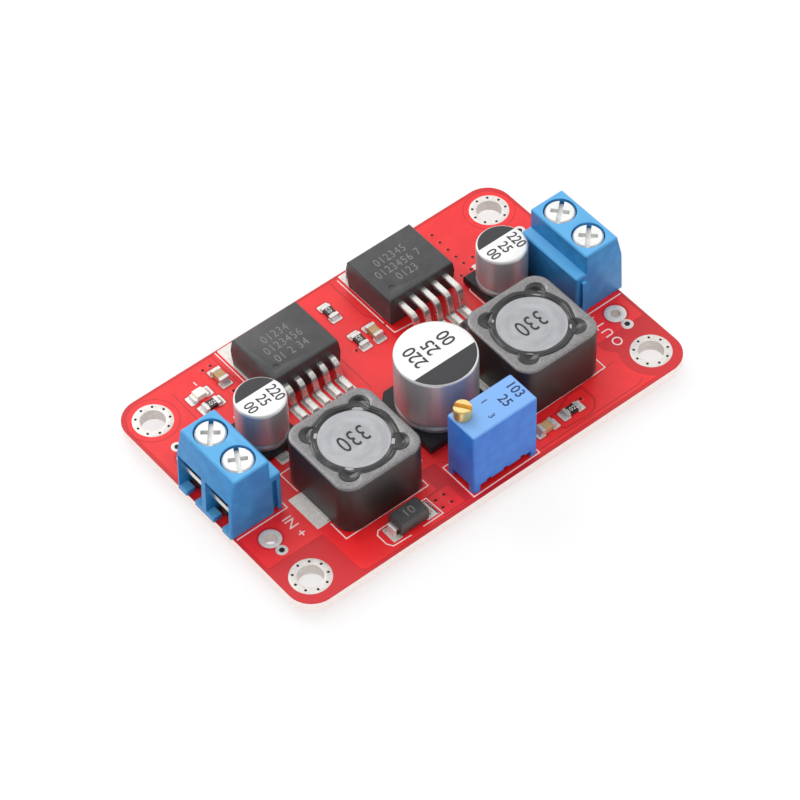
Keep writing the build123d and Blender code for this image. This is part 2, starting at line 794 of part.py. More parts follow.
def capacitor_nodes():
    """Can, base and leads of the three can capacitors, by place and the side of their clipped corners."""
    link = (link_can_radius, link_can_height, link_base_width)
    small = (small_can_radius, small_can_height, small_base_width)
    capacitors = {
        "link_capacitor": (link_x, link_y, 90, *link),
        "input_capacitor": (input_capacitor_x, small_capacitor_y, -90, *small),
        "output_capacitor": (output_capacitor_x, small_capacitor_y, -90, *small),
    }
    nodes = {}
    for name, (x, y, angle, radius, height, width) in capacitors.items():
        spot = Pos(x, y, board_thickness) * Rot(0, 0, angle)
        nodes[name + "_can"] = spot * capacitor_can(radius, height)
        nodes[name + "_base"] = spot * capacitor_base(width, cap_base_clip)
        nodes[name + "_leads"] = spot * capacitor_leads(width, cap_lead_gap)
    return nodes


def inductor_nodes():
    """Shield, drum, winding, adhesive and clips of both inductors."""
    nodes = {}
    for name in ("boost", "buck"):
        spot = Pos(row_places[name], inductor_y, board_thickness)
        nodes[name + "_inductor_shield"] = spot * inductor_shield()
        nodes[name + "_inductor_drum"] = spot * inductor_drum()
        nodes[name + "_inductor_winding"] = spot * inductor_winding()
        nodes[name + "_inductor_adhesive"] = spot * inductor_adhesive()
        nodes[name + "_inductor_clips"] = spot * inductor_clips()
    return nodes


def regulator_nodes():
    """Package, tab and leads of both regulators, by place and the form of their leads."""
    boost = (boost_lead_height, boost_lead_straight, boost_lead_drop, boost_lead_foot)
    buck = (buck_lead_height, buck_lead_straight, buck_lead_drop, buck_lead_foot)
    regulators = {"boost": (boost_regulator_place, boost), "buck": (buck_regulator_place, buck)}
    nodes = {}
    for name, (place, leads) in regulators.items():
        nodes[name + "_regulator_package"] = at_place(place, regulator_package(leads[0]))
        nodes[name + "_regulator_tab"] = at_place(place, regulator_tab())
        nodes[name + "_regulator_leads"] = at_place(place, regulator_leads(*leads))
    return nodes


def small_part_nodes():
    """Diodes, chip parts and the power light."""
    lead = diode_lead()
    return {
        "diode_bodies": placed(diode_places, [diode_body()]),
        "diode_leads": placed(diode_places, [lead, Rot(0, 0, 180) * lead]),
        "chip_capacitor_bodies": placed(chip_capacitor_places, [chip_body(chip_capacitor_height)]),
        "chip_capacitor_ends": placed(chip_capacitor_places, chip_ends(chip_capacitor_height)),
        "chip_resistor_bodies": placed(chip_resistor_places, [chip_body(chip_resistor_height)]),
        "chip_resistor_ends": placed(chip_resistor_places, chip_ends(chip_resistor_height)),
        "power_light_base": placed(power_light_places, [power_light_base()]),
        "power_light_lens": placed(power_light_places, [power_light_lens()]),
    }


nodes = {"circuit_board": circuit_board(), "pin_solder_joints": solder_joints()}
nodes.update(terminal_nodes())
nodes.update(trimmer_nodes())
nodes.update(capacitor_nodes())
nodes.update(inductor_nodes())
nodes.update(regulator_nodes())
nodes.update(small_part_nodes())

os.makedirs("parts", exist_ok=True)
for name, shape in nodes.items():
    export_step(shape, "parts/" + name + ".step")
print(len(nodes), "nodes written")
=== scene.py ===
import math

import bmesh
import bpy
import numpy as np
from mathutils import Matrix, Vector


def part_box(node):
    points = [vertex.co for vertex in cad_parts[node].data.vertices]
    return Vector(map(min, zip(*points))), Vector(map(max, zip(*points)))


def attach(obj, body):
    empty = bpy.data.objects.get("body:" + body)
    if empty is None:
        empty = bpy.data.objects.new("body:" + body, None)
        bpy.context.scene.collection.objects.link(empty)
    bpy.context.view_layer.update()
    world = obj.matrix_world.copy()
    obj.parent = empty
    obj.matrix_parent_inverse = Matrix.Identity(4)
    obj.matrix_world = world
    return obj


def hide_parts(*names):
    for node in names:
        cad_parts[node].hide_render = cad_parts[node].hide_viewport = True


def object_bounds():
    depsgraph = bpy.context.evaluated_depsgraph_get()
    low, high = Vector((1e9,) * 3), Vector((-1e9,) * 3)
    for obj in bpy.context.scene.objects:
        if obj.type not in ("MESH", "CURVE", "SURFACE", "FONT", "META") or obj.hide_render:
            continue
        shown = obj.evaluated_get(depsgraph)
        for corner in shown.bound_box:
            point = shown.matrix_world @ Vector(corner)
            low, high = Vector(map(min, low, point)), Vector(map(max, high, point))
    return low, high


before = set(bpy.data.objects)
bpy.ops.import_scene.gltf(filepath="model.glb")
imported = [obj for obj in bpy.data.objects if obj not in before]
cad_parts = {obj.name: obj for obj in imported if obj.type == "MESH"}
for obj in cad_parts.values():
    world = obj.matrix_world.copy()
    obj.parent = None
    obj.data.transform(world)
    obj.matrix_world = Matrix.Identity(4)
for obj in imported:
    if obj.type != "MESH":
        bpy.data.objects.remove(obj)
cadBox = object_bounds()
mm = 0.001
tau = 2 * math.pi
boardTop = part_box("circuit_board")[1].z / mm


def tone(red, green, blue):  # a colour as a paint program shows it, made linear
    share = np.array([red, green, blue]) / 255
    light = np.where(share <= 0.04045, share / 12.92, ((share + 0.055) / 1.055) ** 2.4)
    return (*[float(v) for v in light], 1.0)


class Wire:  # one output socket of a shader node; sums written with it add Math nodes
    def __init__(self, tree, socket):
        self.tree, self.socket = tree, socket

    def sum(self, operation, first, second=0.0):
        return self.tree.node("ShaderNodeMath", {"operation": operation}, {0: first, 1: second})

    def __add__(self, other):
        return self.sum("ADD", self, other)

    __radd__ = __add__

    def __sub__(self, other):
        return self.sum("SUBTRACT", self, other)

    def __rsub__(self, other):
        return self.sum("SUBTRACT", other, self)

    def __mul__(self, other):
        return self.sum("MULTIPLY", self, other)

    __rmul__ = __mul__

    def __pow__(self, other):
        return self.sum("POWER", self, other)

    def __abs__(self):
        return self.sum("ABSOLUTE", self)

    def rise(self, low, high):  # 0 below low, 1 above high, smooth between
        return self.tree.node("ShaderNodeMapRange", {"interpolation_type": "SMOOTHSTEP"},
                              {"Value": self, "From Min": low, "From Max": high})


class Tree:  # a node tree with short ways to add nodes
    def __init__(self, owner):
        owner.use_nodes = True
        self.owner, self.tree = owner, owner.node_tree

    def join(self, socket, value):
        if isinstance(value, Wire):
            self.tree.links.new(value.socket, socket)
        else:
            socket.default_value = value

    def node(self, kind, settings=None, sockets=None, output=0):
        made = self.tree.nodes.new(kind)
        for key, value in (settings or {}).items():
            setattr(made, key, value)
        for key, value in (sockets or {}).items():
            self.join(made.inputs[key], value)
        return Wire(self, made.outputs[output])

    def blend(self, factor, first, second):
        return self.node("ShaderNodeMix", {"data_type": "RGBA"}, {0: factor, 6: first, 7: second}, 2)


class Finish(Tree):  # a material; its plain values are set on the shader, the rest is fed to it
    def __init__(self, name, plain):
        super().__init__(bpy.data.materials.new(name))
        self.shader = self.tree.nodes["Principled BSDF"]
        for label, value in plain.items():
            self.shader.inputs[label].default_value = value

    def feed(self, label, value):
        self.join(self.shader.inputs[label], value)
        return self

    def place(self, centre=(0, 0, 0), stretch=(1, 1, 1)):  # object coordinates in mm from centre
        moved = [-c * s for c, s in zip(centre, stretch)]
        return self.node("ShaderNodeMapping", None,
                         {"Vector": self.node("ShaderNodeTexCoord", output=3), "Location": moved,
                          "Scale": [s / mm for s in stretch]})

    def axes(self, place):  # the three parts of a vector
        split = self.node("ShaderNodeSeparateXYZ", None, {0: place})
        return [Wire(self, out) for out in split.socket.node.outputs]

    def upward(self):  # how far the surface points up, on the object's own axes
        return self.axes(self.node("ShaderNodeTexCoord", output=1))[2]

    def noise(self, grain, place=None, detail=2.0):  # grain in mm
        return self.node("ShaderNodeTexNoise", None,
                         {"Vector": place or self.place(), "Scale": 1 / grain, "Detail": detail})

    def bump(self, height, depth):  # depth in mm
        return self.feed("Normal", self.node("ShaderNodeBump", None, {"Distance": depth * mm, "Height": height}))


def mottled(name, light, dark, grain, plain, roughness, depth, stretch=(1, 1, 1)):
    # a finish whose colour, gloss and height all wander with one noise
    made = Finish(name, plain)
    grey = made.noise(grain, made.place(stretch=stretch), 3.0)
    patch = made.noise(grain * 9).rise(0.35, 0.65)
    made.feed("Base Color", made.blend(grey.rise(0.3, 0.7) * 0.6 + patch * 0.4, tone(*dark), tone(*light)))
    made.feed("Roughness", roughness[0] + (roughness[1] - roughness[0]) * grey)
    return made.bump(grey, depth)


def mottledSet(looks):  # each row: light and dark tone, grain, plain values, roughness from and to, depth, stretch
    return [mottled(name, *look) for name, look in looks.items()]


def paintedSheenMoulding(name, look):  # coloured plastic whose upward faces are painted paler: a painted sheen, as if lit from above
    made = Finish(name, {"Specular IOR Level": look["shine"]})
    flow = made.noise(look["grain"], detail=3.0)
    face = made.blend(flow.rise(0.3, 0.7), tone(*look["dark"]), tone(*look["light"]))
    # painted sheen: upward faces blend towards the paler top tone
    made.feed("Base Color", made.blend(made.upward().rise(0.3, 0.95), face, tone(*look["top"])))
    made.feed("Roughness", look["roughness"] + flow * 0.12)
    return made.bump(flow, look["depth"])


# Each shape below is a pair: points, and a list of face index arrays.

def skin(rows, loopU=False, loopV=True, ends=False):
    # a grid of points joined by quads, closed on itself along either parameter, with flat ends if asked
    rows = np.asarray(rows, float)
    n, m = rows.shape[:2]
    u = np.arange(n if loopU else n - 1)[:, None]
    v = np.arange(m if loopV else m - 1)[None]
    a, b, c, d = (((u + i) % n) * m + (v + j) % m for i, j in ((0, 0), (0, 1), (1, 1), (1, 0)))
    faces = [np.stack([a, b, c, d], -1).reshape(-1, 4)]
    if ends:
        faces += [np.arange(m)[::-1][None], (np.arange(m) + (n - 1) * m)[None]]
    return rows.reshape(-1, 3), faces


def revolve(profile, x, y, count, closed=False):
    # a profile of (radius, height) carried round an upright axis; a radius of 0 at an end is a pole
    profile = np.array(profile, float)
    turn = np.arange(count) / count * tau
    body = profile[profile[:, 0] > 0]
    rows = np.empty((len(body), count, 3))
    rows[..., 0] = x + body[:, :1] * np.cos(turn)
    rows[..., 1] = y + body[:, :1] * np.sin(turn)
    rows[..., 2] = body[:, 1:]
    points, faces = skin(rows, loopU=closed)
    around = np.arange(count)
    for end, first in ((0, 0), (-1, (len(body) - 1) * count)):
        if profile[end, 0] == 0:
            pole = np.full(count, len(points))
            faces.append(np.stack([around + first, (around + 1) % count + first, pole], 1))
            points = np.vstack([points, [x, y, profile[end, 1]]])
    return points, faces


def disc(x, y, radius, level, base, count, crown=0.0):
    # an upright cylinder from its base to a level, the middle of its end raised by a crown
    return revolve([(0, level + crown), (radius, level), (radius, base), (0, base)], x, y, count)


def slab(top, base):
    # a height field over a grid of points, with upright walls down to a flat base
    n, m = top.shape[:2]
    under = top.copy()
    under[..., 2] = base
    index = np.arange(n * m).reshape(n, m)
    rim = np.concatenate([index[0], index[1:, -1], index[-1, -2::-1], index[-2:0:-1, 0]])
    after = np.roll(rim, -1)
    points, faces = skin(top, loopV=False)
    faces.append(faces[0][:, ::-1] + n * m)
    faces.append(np.stack([after, rim, rim + n * m, after + n * m], 1))
    return np.vstack([points, under.reshape(-1, 3)]), faces


def rounded(path, radius, steps=6, closed=False):
    # a path whose corners become quadratic curves that start the radius away from each corner
    path = np.array(path, float)
    radius = np.broadcast_to(radius, len(path))[:, None]
    before, after = np.roll(path, 1, 0), np.roll(path, -1, 0)
    if not closed:
        before[0], after[-1] = path[0], path[-1]

    def towards(other):
        way = other - path
        size = np.linalg.norm(way, axis=1, keepdims=True)
        return path + way / np.maximum(size, 1e-9) * np.minimum(radius, size / 2)

    start, stop = towards(before), towards(after)
    t = np.linspace(0, 1, steps)[:, None, None]
    bent = ((1 - t) ** 2 * start + 2 * t * (1 - t) * path + t ** 2 * stop).transpose(1, 0, 2)
    if closed:
        return bent.reshape(-1, path.shape[1])
    return np.vstack([path[:1], bent[1:-1].reshape(-1, path.shape[1]), path[-1:]])


def trace(path, width, low, high, closed=False):
    # a flat track of even width along a path in plan, mitred at its corners
    path = np.array(path, float)
    way = np.roll(path, -1, 0) - path
    if not closed:
        way[-1] = way[-2]
    way /= np.linalg.norm(way, axis=1, keepdims=True)
    back = np.roll(way, 1, 0)
    if not closed:
        back[0] = way[0]
    side, other = (np.stack([-w[:, 1], w[:, 0]], 1) for w in (way, back))
    mitre = (side + other) / np.maximum(1 + (side * other).sum(1, keepdims=True), 0.4) * width / 2
    corners = [np.c_[path + sign * mitre, np.full(len(path), z)]
               for sign, z in ((1, low), (1, high), (-1, high), (-1, low))]
    return skin(np.stack(corners, 1), loopU=closed, ends=not closed)


def ribbon(path, width, thick, corner, x):
    # a flat strip along a path in the plane across x; its section is a rectangle with clipped corners
    path = np.array(path, float)
    way = np.gradient(path, axis=0)
    way /= np.linalg.norm(way, axis=1, keepdims=True)
    up = np.stack([-way[:, 1], way[:, 0]], 1)
    w, t = width / 2, thick / 2
    section = np.array([(-w, -t + corner), (-w, t - corner), (-w + corner, t), (w - corner, t),
                        (w, t - corner), (w, -t + corner), (w - corner, -t), (-w + corner, -t)])
    rows = np.empty((len(path), len(section), 3))
    rows[..., 0] = x + section[:, 0]
    rows[..., 1:] = path[:, None] + up[:, None] * section[:, 1:]
    return skin(rows, ends=True)


def fromCurve(curve):
    # the mesh of a flat curve or of text, in the curve's own units
    piece = bpy.data.objects.new("outline", curve)
    bpy.context.scene.collection.objects.link(piece)
    bpy.context.view_layer.update()
    mesh = bpy.data.meshes.new_from_object(piece)
    mesh.calc_loop_triangles()
    points = np.empty(len(mesh.vertices) * 3)
    mesh.vertices.foreach_get("co", points)
    faces = np.empty(len(mesh.loop_triangles) * 3, np.int32)
    mesh.loop_triangles.foreach_get("vertices", faces)
    bpy.data.objects.remove(piece)
    bpy.data.meshes.remove(mesh)
    bpy.data.curves.remove(curve)
    return points.reshape(-1, 3), [faces.reshape(-1, 3)]


def plate(loops, low, high):
    # a flat sheet between two heights, inside the first loop and outside the loops within it
    curve = bpy.data.curves.new("outline", "CURVE")
    curve.dimensions, curve.fill_mode = "2D", "BOTH"
    curve.extrude = (high - low) / 2
    for loop in loops:
        loop = np.asarray(loop, float)
        spline = curve.splines.new("POLY")
        spline.points.add(len(loop) - 1)
        spline.points.foreach_set("co", np.c_[loop, np.zeros(len(loop)), np.ones(len(loop))].ravel())
        spline.use_cyclic_u = True
    points, faces = fromCurve(curve)
    return points + (0, 0, (low + high) / 2), faces


def spun(points, x, y, turn):  # points turned in plan about the origin, then moved
    c, s = math.cos(math.radians(turn)), math.sin(math.radians(turn))
    points = np.array(points, float)
    points[..., :2] = points[..., :2] @ np.array([[c, s], [-s, c]]) + (x, y)
    return points


capitalShare = 0.73  # the height of a capital letter over the size of its font


def lettering(words, x, y, z, turn, height, depth, thicken=0.0, spacing=1.0, narrow=1.0):
    # flat letters of a given height, centred on a point and turned in plan
    curve = bpy.data.curves.new("letters", "FONT")
    curve.body, curve.size, curve.extrude = words, height / capitalShare, depth / 2
    curve.align_x, curve.align_y = "CENTER", "CENTER"
    curve.resolution_u, curve.offset, curve.space_character = 3, thicken, spacing
    points, faces = fromCurve(curve)
    points[:, :2] -= (points[:, :2].min(0) + points[:, :2].max(0)) / 2
    points[:, 0] *= narrow
    return spun(points, x, y, turn) + (0, 0, z + depth / 2), faces


def box2d(x0, x1, y0, y1):
    return [(x0, y0), (x1, y0), (x1, y1), (x0, y1)]


def circle(x, y, radius, count=48):
    turn = np.arange(count) / count * tau
    return np.stack([x + radius * np.cos(turn), y + radius * np.sin(turn)], 1)


def grown(loop, by):  # a loop moved outwards by an even distance, mitred
    loop = np.array(loop, float)
    way = np.roll(loop, -1, 0) - loop
    way /= np.linalg.norm(way, axis=1, keepdims=True)
    out = np.stack([way[:, 1], -way[:, 0]], 1)
    back = np.roll(out, 1, 0)
    area = (loop[:, 0] * np.roll(loop[:, 1], -1) - loop[:, 1] * np.roll(loop[:, 0], -1)).sum()
    return loop + np.sign(area) * by * (out + back) / (1 + (out * back).sum(1, keepdims=True))


# points merge below a distance in metres, faces join below an angle, edges are rounded or shade sharp above one
meshRules = {"merge": 2e-7, "flat": 0.6, "round": 28, "sharp": 50}


def merged(mesh, joinFlat):
    # points merged; then the flat faces of a CAD mesh are joined, or a new mesh's normals turned outward
    work = bmesh.new()
    work.from_mesh(mesh)
    bmesh.ops.remove_doubles(work, verts=work.verts, dist=meshRules["merge"])
    if joinFlat:
        bmesh.ops.dissolve_limit(work, angle_limit=math.radians(meshRules["flat"]), verts=work.verts,
                                 edges=work.edges)
    else:
        bmesh.ops.recalc_face_normals(work, faces=work.faces)
    work.to_mesh(mesh)
    work.free()
    return mesh


def present(mesh, finish, sharp, stands):
    # the object for a finished mesh, shaded smooth up to an angle
    mesh.materials.append(finish.owner)
    piece = bpy.data.objects.new(mesh.name, mesh)
    bpy.context.scene.collection.objects.link(piece)
    mesh.shade_smooth()
    mesh.set_sharp_from_angle(angle=math.radians(sharp))
    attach(piece, "root")
    if stands:
        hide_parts(*stands)
    return piece


def assemble(name, parts, finish, sharp=30, stands=()):
    # one piece in metres from several shapes
    start, points, faces = 0, [], []
    for part, rows in parts:
        points.append(part)
        for row in rows:
            faces += (row + start).tolist()
        start += len(part)
    mesh = bpy.data.meshes.new(name)
    mesh.from_pydata((np.concatenate(points) * mm).tolist(), [], faces)
    present(merged(mesh, False), finish, sharp, stands)


def soften(node, name, finish, width, segments=2):
    # a copy of a CAD node with its edges rounded, that stands for it
    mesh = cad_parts[node].data.copy()
    mesh.name = name
    mesh.materials.clear()
    piece = present(merged(mesh, True), finish, meshRules["sharp"], [node])
    bevel = piece.modifiers.new("rounding", "BEVEL")
    bevel.width, bevel.segments = width * mm, segments
    bevel.limit_method, bevel.angle_limit = "ANGLE", math.radians(meshRules["round"])
    bevel.use_clamp_overlap, bevel.harden_normals = True, True


def paint(finish, *nodes):
    for node in nodes:
        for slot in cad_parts[node].material_slots:
            slot.material = finish.owner


def span(node):  # a CAD node's box in mm: x0, x1, y0, y1, z0, z1
    low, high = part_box(node)
    return [v / mm for pair in zip(low, high) for v in pair]


# the board's finishes: red mask over glass or over copper, and the pale core at its edge
boardLook = {"copperRed": (240, 34, 38), "copperShade": (230, 26, 32), "bareRed": (210, 30, 38),
             "bareShade": (196, 24, 32), "edge": (255, 248, 244), "edgeDark": (248, 228, 222), "lip": (0.16, 0.08)}
bare = Finish("red_mask_over_glass", {"Specular IOR Level": 0.5})
cloth = bare.noise(0.5, detail=3.0)
weave = bare.noise(0.16, bare.place(stretch=(1, 1, 3)))
side = 1 - abs(bare.upward()).rise(0.3, 0.7)
lip = bare.axes(bare.place())[2].rise(*[boardTop - below for below in boardLook["lip"]])
core = bare.blend(weave.rise(0.35, 0.62), tone(*boardLook["edgeDark"]), tone(*boardLook["edge"]))
mask = bare.blend(cloth, tone(*boardLook["bareShade"]), tone(*boardLook["bareRed"]))
bare.feed("Base Color", bare.blend(side * (1 - lip), mask, core))
bare.feed("Roughness", 0.34 + cloth * 0.12 + side * 0.3)
bare.bump(weave * (0.25 + side * 2), 0.012)

pour = Finish("red_mask_over_copper", {"Specular IOR Level": 0.55})
cloud = pour.noise(3.0, detail=3.0)
pour.feed("Base Color", pour.blend(cloud.rise(0.3, 0.7), tone(*boardLook["copperShade"]),
                                   tone(*boardLook["copperRed"])))
pour.feed("Roughness", 0.33 + cloud * 0.1)
pour.bump(pour.noise(0.35, detail=3.0), 0.004)

boardLooks = {
    "tinned_land": ((236, 231, 226), (214, 208, 202), 0.35, {"Metallic": 0.4}, (0.36, 0.5), 0.01),
    "legend_ink": ((250, 226, 224), (238, 204, 202), 0.2, {}, (0.5, 0.6), 0.003),
    # a dark tone of painted shade, for discs that stand for the inside of holes
    "drilled_hole": ((46, 12, 14), (24, 8, 10), 0.15, {}, (0.5, 0.7), 0.003),
    "bright_tin": ((238, 237, 234), (212, 210, 207), 0.3, {"Metallic": 0.6}, (0.24, 0.4), 0.012)}
tinned, legend, drill, solder = mottledSet(boardLooks)
paint(bare, "circuit_board")
print("finishes of the board are made")

# the board's copper, lands, vias and legend
copper = {"thick": 0.03, "gap": 0.2, "gapRise": 0.004, "padGap": 0.22, "ringGap": 3.22, "ringWidth": 0.16,
          "clear": 0.3}
lands = {"rise": 0.02, "foot": 0.02, "holeX": 25.75, "holeY": 14.85, "radius": 2.54, "drill": 1.6,
         "wireY": 7.73, "wireRadius": 1.35, "inDrill": 0.85, "outDrill": 0.64,
         "testY": 9.86, "testRadius": 0.78, "testDrill": 0.32}
copperTop = boardTop + copper["thick"]
gapTop = copperTop + copper["gapRise"]
landTop = copperTop + lands["rise"]
inX, outX = [sum(span(end + "_plus_screw")[:2]) / 2 for end in ("input", "output")]

pourOutline = [(-28.8, -10.97), (-21.0, -11.07), (-20.9, -14.2), (-20.81, -17.6), (-20.2, -18.2),
               (23.75, -18.2), (22.9, -17.4), (22.2, -16.3), (21.93, -14.9), (22.1, -13.6), (22.54, -12.6),
               (21.45, -11.2), (21.49, -9.9), (28.8, -10.0), (28.8, 15.35), (27.97, 17.37), (25.95, 18.2),
               (-25.95, 18.2), (-27.97, 17.37), (-28.8, 15.35)]
bareLoops = [  # windows in the copper
    [(11.2, -14.5), (13.9, -13.35), (15.9, -13.6), (15.9, -16.1), (15.0, -17.2), (13.9, -17.6), (10.2, -17.35),
     (9.9, -16.9), (9.9, -14.6)],
    [(-7.0, -11.3), (-4.6, -11.4), (-4.6, -18.05), (-8.75, -18.05), (-8.75, -14.55), (-7.0, -14.55)]]
islands = [  # the copper left inside each window
    [(11.35, -14.8), (13.9, -13.7), (15.6, -13.9), (15.6, -16.0), (14.85, -16.9), (13.9, -17.3), (10.4, -17.05),
     (10.2, -16.8), (10.2, -14.9)],
    [(-8.55, -14.8), (-5.55, -14.8), (-5.55, -17.85), (-8.55, -17.85)]]
gaps = [  # paths of the thin gaps between neighbouring pours
    [(-4.3, -11.45), (-2.4, -13.2)], [(5.95, -17.72), (21.4, -17.72), (22.3, -17.2)],
    [(-4.46, -10.55), (-1.6, -10.5), (0.0, -11.6)], [(17.78, -13.68), (19.91, -13.32), (21.27, -13.21)],
    [(15.8, 18.3), (15.75, 9.6), (15.0, 8.2)], [(-14.6, 18.3), (-14.55, 13.0), (-13.9, 11.6)],
    [(-24.2, 6.6), (-21.75, 9.4), (-21.56, 16.57)], [(3.4, 18.3), (3.3, 11.5), (4.2, 9.9), (4.2, 5.6)],
    [(-1.6, 18.3), (-1.6, 11.6), (-3.1, 10.2), (-3.1, 2.2)]]

chips = {"capacitor": [(-15.8, 14.95, 90), (2.45, 8.5, 90), (8.5, -15.85, 0)],
         "resistor": [(-19.1, 12.25, 0), (0.4, 14.45, 90), (0.4, 8.7, 90), (12.5, -15.7, 0)],
         "light": [(-19.35, 14.3, 0)]}  # x, y and turn of each
chipSize = {"length": 2.0, "capacitor": 0.9, "resistor": 0.5, "light": 0.36}  # the last three are heights
chipLand = rounded(box2d(0.575, 1.65, -0.75, 0.75), 0.15, 3, True)  # one of the two under a chip
chipPads = [spun(chipLand * (sign, 1), x, y, turn)
            for places in chips.values() for x, y, turn in places for sign in (-1, 1)]
squarePads = [  # x0, x1, y0, y1 of the lands under the larger parts
    (-21.0, -17.0, -10.2, -4.7), (-9.3, -5.5, -10.2, -4.7), (5.6, 9.5, -10.2, -4.7), (17.4, 21.2, -10.2, -4.7),
    (-15.55, -14.2, -17.3, -15.0), (-10.6, -8.95, -17.3, -15.0), (-13.9, -12.4, 0.0, 1.6), (-9.2, -7.6, 0.0, 1.6),
    (9.3, 10.9, -0.15, 1.45), (14.1, 15.7, -0.15, 1.45), (-0.1, 1.9, -2.4, 1.5), (-0.1, 1.9, -11.6, -8.0),
    (-18.3, -16.6, 6.4, 9.2), (-18.3, -16.6, -0.2, 2.4), (18.1, 19.8, 6.4, 9.2), (18.1, 19.8, -0.2, 2.4),
    (-13.6, -3.45, 9.0, 18.45), (4.75, 14.4, 9.8, 18.35)]
legRow = {"count": 5, "pitch": 1.7, "landWidth": 1.3}
legLands = [(-12.58, 2.9, 5.9), (5.5, 2.1, 5.0)]  # x0 of the first land under each regulator's legs, y0, y1
legPads = [(x + legRow["pitch"] * k, x + legRow["pitch"] * k + legRow["landWidth"], y0, y1)
           for x, y0, y1 in legLands for k in range(legRow["count"])]
pads = [rounded(box2d(*pad), 0.12, 3, True) for pad in squarePads + legPads]

# x, y, outer radius and hole radius
mountLands = [(sx * lands["holeX"], sy * lands["holeY"], lands["radius"], lands["drill"])
              for sx in (-1, 1) for sy in (-1, 1)]
wireLands = [(x, sign * lands["wireY"], lands["wireRadius"], drilled)
             for x, drilled in ((inX, lands["inDrill"]), (outX, lands["outDrill"])) for sign in (-1, 1)]
roundLands = mountLands + wireLands
testPads = [(x, sign * lands["testY"]) for x in (inX, outX) for sign in (-1, 1)]

keepOut = [circle(x, y, outer - copper["clear"]) for x, y, outer, hole in mountLands if y > 0]
keepOut += [circle(x, y, outer + copper["clear"], 32) for x, y, outer, hole in wireLands]
copperParts = [plate([rounded(pourOutline, 0.3, 4, True)] + keepOut + bareLoops, boardTop, copperTop)]
copperParts += [plate([loop], boardTop, copperTop) for loop in islands]
assemble("board_copper_pour", copperParts, pour)

gapParts = [trace(rounded(path, 0.5), copper["gap"], boardTop, gapTop) for path in gaps]
gapParts += [plate([grown(pad, copper["padGap"]), pad], boardTop, gapTop) for pad in chipPads]
gapParts += [trace(circle(x, y, copper["ringGap"]), copper["ringWidth"], boardTop, gapTop, True)
             for x, y, outer, hole in mountLands if y > 0]
assemble("board_bare_gaps", gapParts, bare)


def land(x, y, outer, hole, foot=boardTop):  # a tinned ring with a low crown, its hole plated down to foot
    inside = hole - 0.03
    return revolve([(hole + 0.02, foot), (inside, foot), (inside, landTop - 0.015), (hole + 0.08, landTop),
                    (outer - 0.12, landTop), (outer, boardTop + 0.01), (outer, boardTop), (hole + 0.02, boardTop)],
                   x, y, 64, True)


landParts = [land(*each, foot=lands["foot"]) for each in roundLands]
landParts += [plate([pad], boardTop, landTop) for pad in chipPads + pads]
landParts += [land(x, y, lands["testRadius"], lands["testDrill"]) for x, y in testPads]
assemble("board_lands", landParts, tinned)

# dark discs of painted shade that stand for drilled holes, and raised rims round the vias
drills = {"rise": 0.03, "test": 0.34, "testCrown": 0.005, "via": 0.2, "ring": 0.17, "ringAt": 2.07,
          "count": 9, "start": 0.4}
vias = [(17.76, 16.18), (17.74, 14.63), (17.73, 13.09), (17.73, 11.59), (17.79, 10.2), (19.23, 10.25), (16.26, 8.79),
        (17.79, 8.83), (-6.83, -15.6), (-8.08, -15.64), (-6.79, -16.97), (-8.09, -16.96), (14.5, -15.03),
        (-0.85, 7.78), (-15.77, 12.31), (-15.56, 17.15), (-16.68, 17.16)]
drillTop = copperTop + drills["rise"]
ringTurns = [(step + drills["start"]) * tau / drills["count"] for step in range(drills["count"])]
# painted shade: dark discs over the test pad holes, the vias and the vias round the mount holes
holeShadeParts = [disc(x, y, drills["test"], drillTop, boardTop, 24, drills["testCrown"]) for x, y in testPads]
holeShadeParts += [disc(x, y, drills["via"], drillTop, boardTop, 16) for x, y in vias]
holeShadeParts += [disc(x + drills["ringAt"] * math.cos(a), y + drills["ringAt"] * math.sin(a), drills["ring"],
                   drillTop, boardTop, 12) for x, y, outer, hole in mountLands for a in ringTurns]
assemble("board_via_hole_shade", holeShadeParts, drill, sharp=38)
viaRim = [(0.18, boardTop), (0.19, copperTop + 0.035), (0.28, copperTop + 0.04), (0.42, copperTop + 0.005),
          (0.42, boardTop)]
assemble("board_via_rims", [revolve(viaRim, x, y, 20, True) for x, y in vias], pour, sharp=38)

ink = {"width": 0.15, "thick": 0.02, "sunk": 0.01, "letterDepth": 0.03}
inkLow, inkHigh = copperTop - ink["sunk"], copperTop + ink["thick"]
inkLines = [
    [(-13.95, 18.4), (-13.95, 9.2)], [(4.33, 17.9), (4.33, 9.0)], [(4.35, 8.6), (4.4, 7.06), (7.32, 6.77)],
    [(-19.35, -10.5), (-19.35, -13.33), (-7.35, -13.41), (-7.35, -10.5)],
    [(-19.35, -4.4), (-19.35, -1.1), (-7.35, -1.1), (-7.35, -4.4)],
    [(7.3, -10.6), (7.3, -13.4), (19.9, -13.25), (19.9, -10.5)],
    [(7.3, -4.4), (7.3, -1.1), (19.8, -1.1), (19.8, -4.4)],
    [(-9.9, -14.65), (-8.72, -14.7), (-8.6, -17.6), (-11.53, -17.63)], [(-9.1, -14.95), (-9.0, -17.35)],
    [(-13.9, -14.75), (-15.87, -14.76), (-16.36, -15.26), (-16.34, -16.9), (-15.9, -17.6), (-13.34, -17.71)],
    [(-22.0, 5.7), (-21.7, 5.7), (-21.7, -5.45), (-29.0, -5.45)], [(22.2, 5.4), (22.2, -5.75), (29.0, -5.75)],
    [(-18.6, 16.43), (-18.58, 15.77)], [(-20.9, 0.95), (-20.9, 6.3), (-19.3, 7.9), (-18.6, 7.9)],
    [(-16.3, 7.9), (-14.0, 7.9), (-14.0, 1.0), (-16.3, 1.0)], [(15.5, 1.0), (15.5, 6.3), (17.1, 7.9)],
    [(22.3, 6.2), (22.3, 7.9), (20.2, 7.9)]]
inkLoop = [(-4.37, -12.5), (-4.37, -18.1), (5.6, -18.0), (5.6, -12.5)]
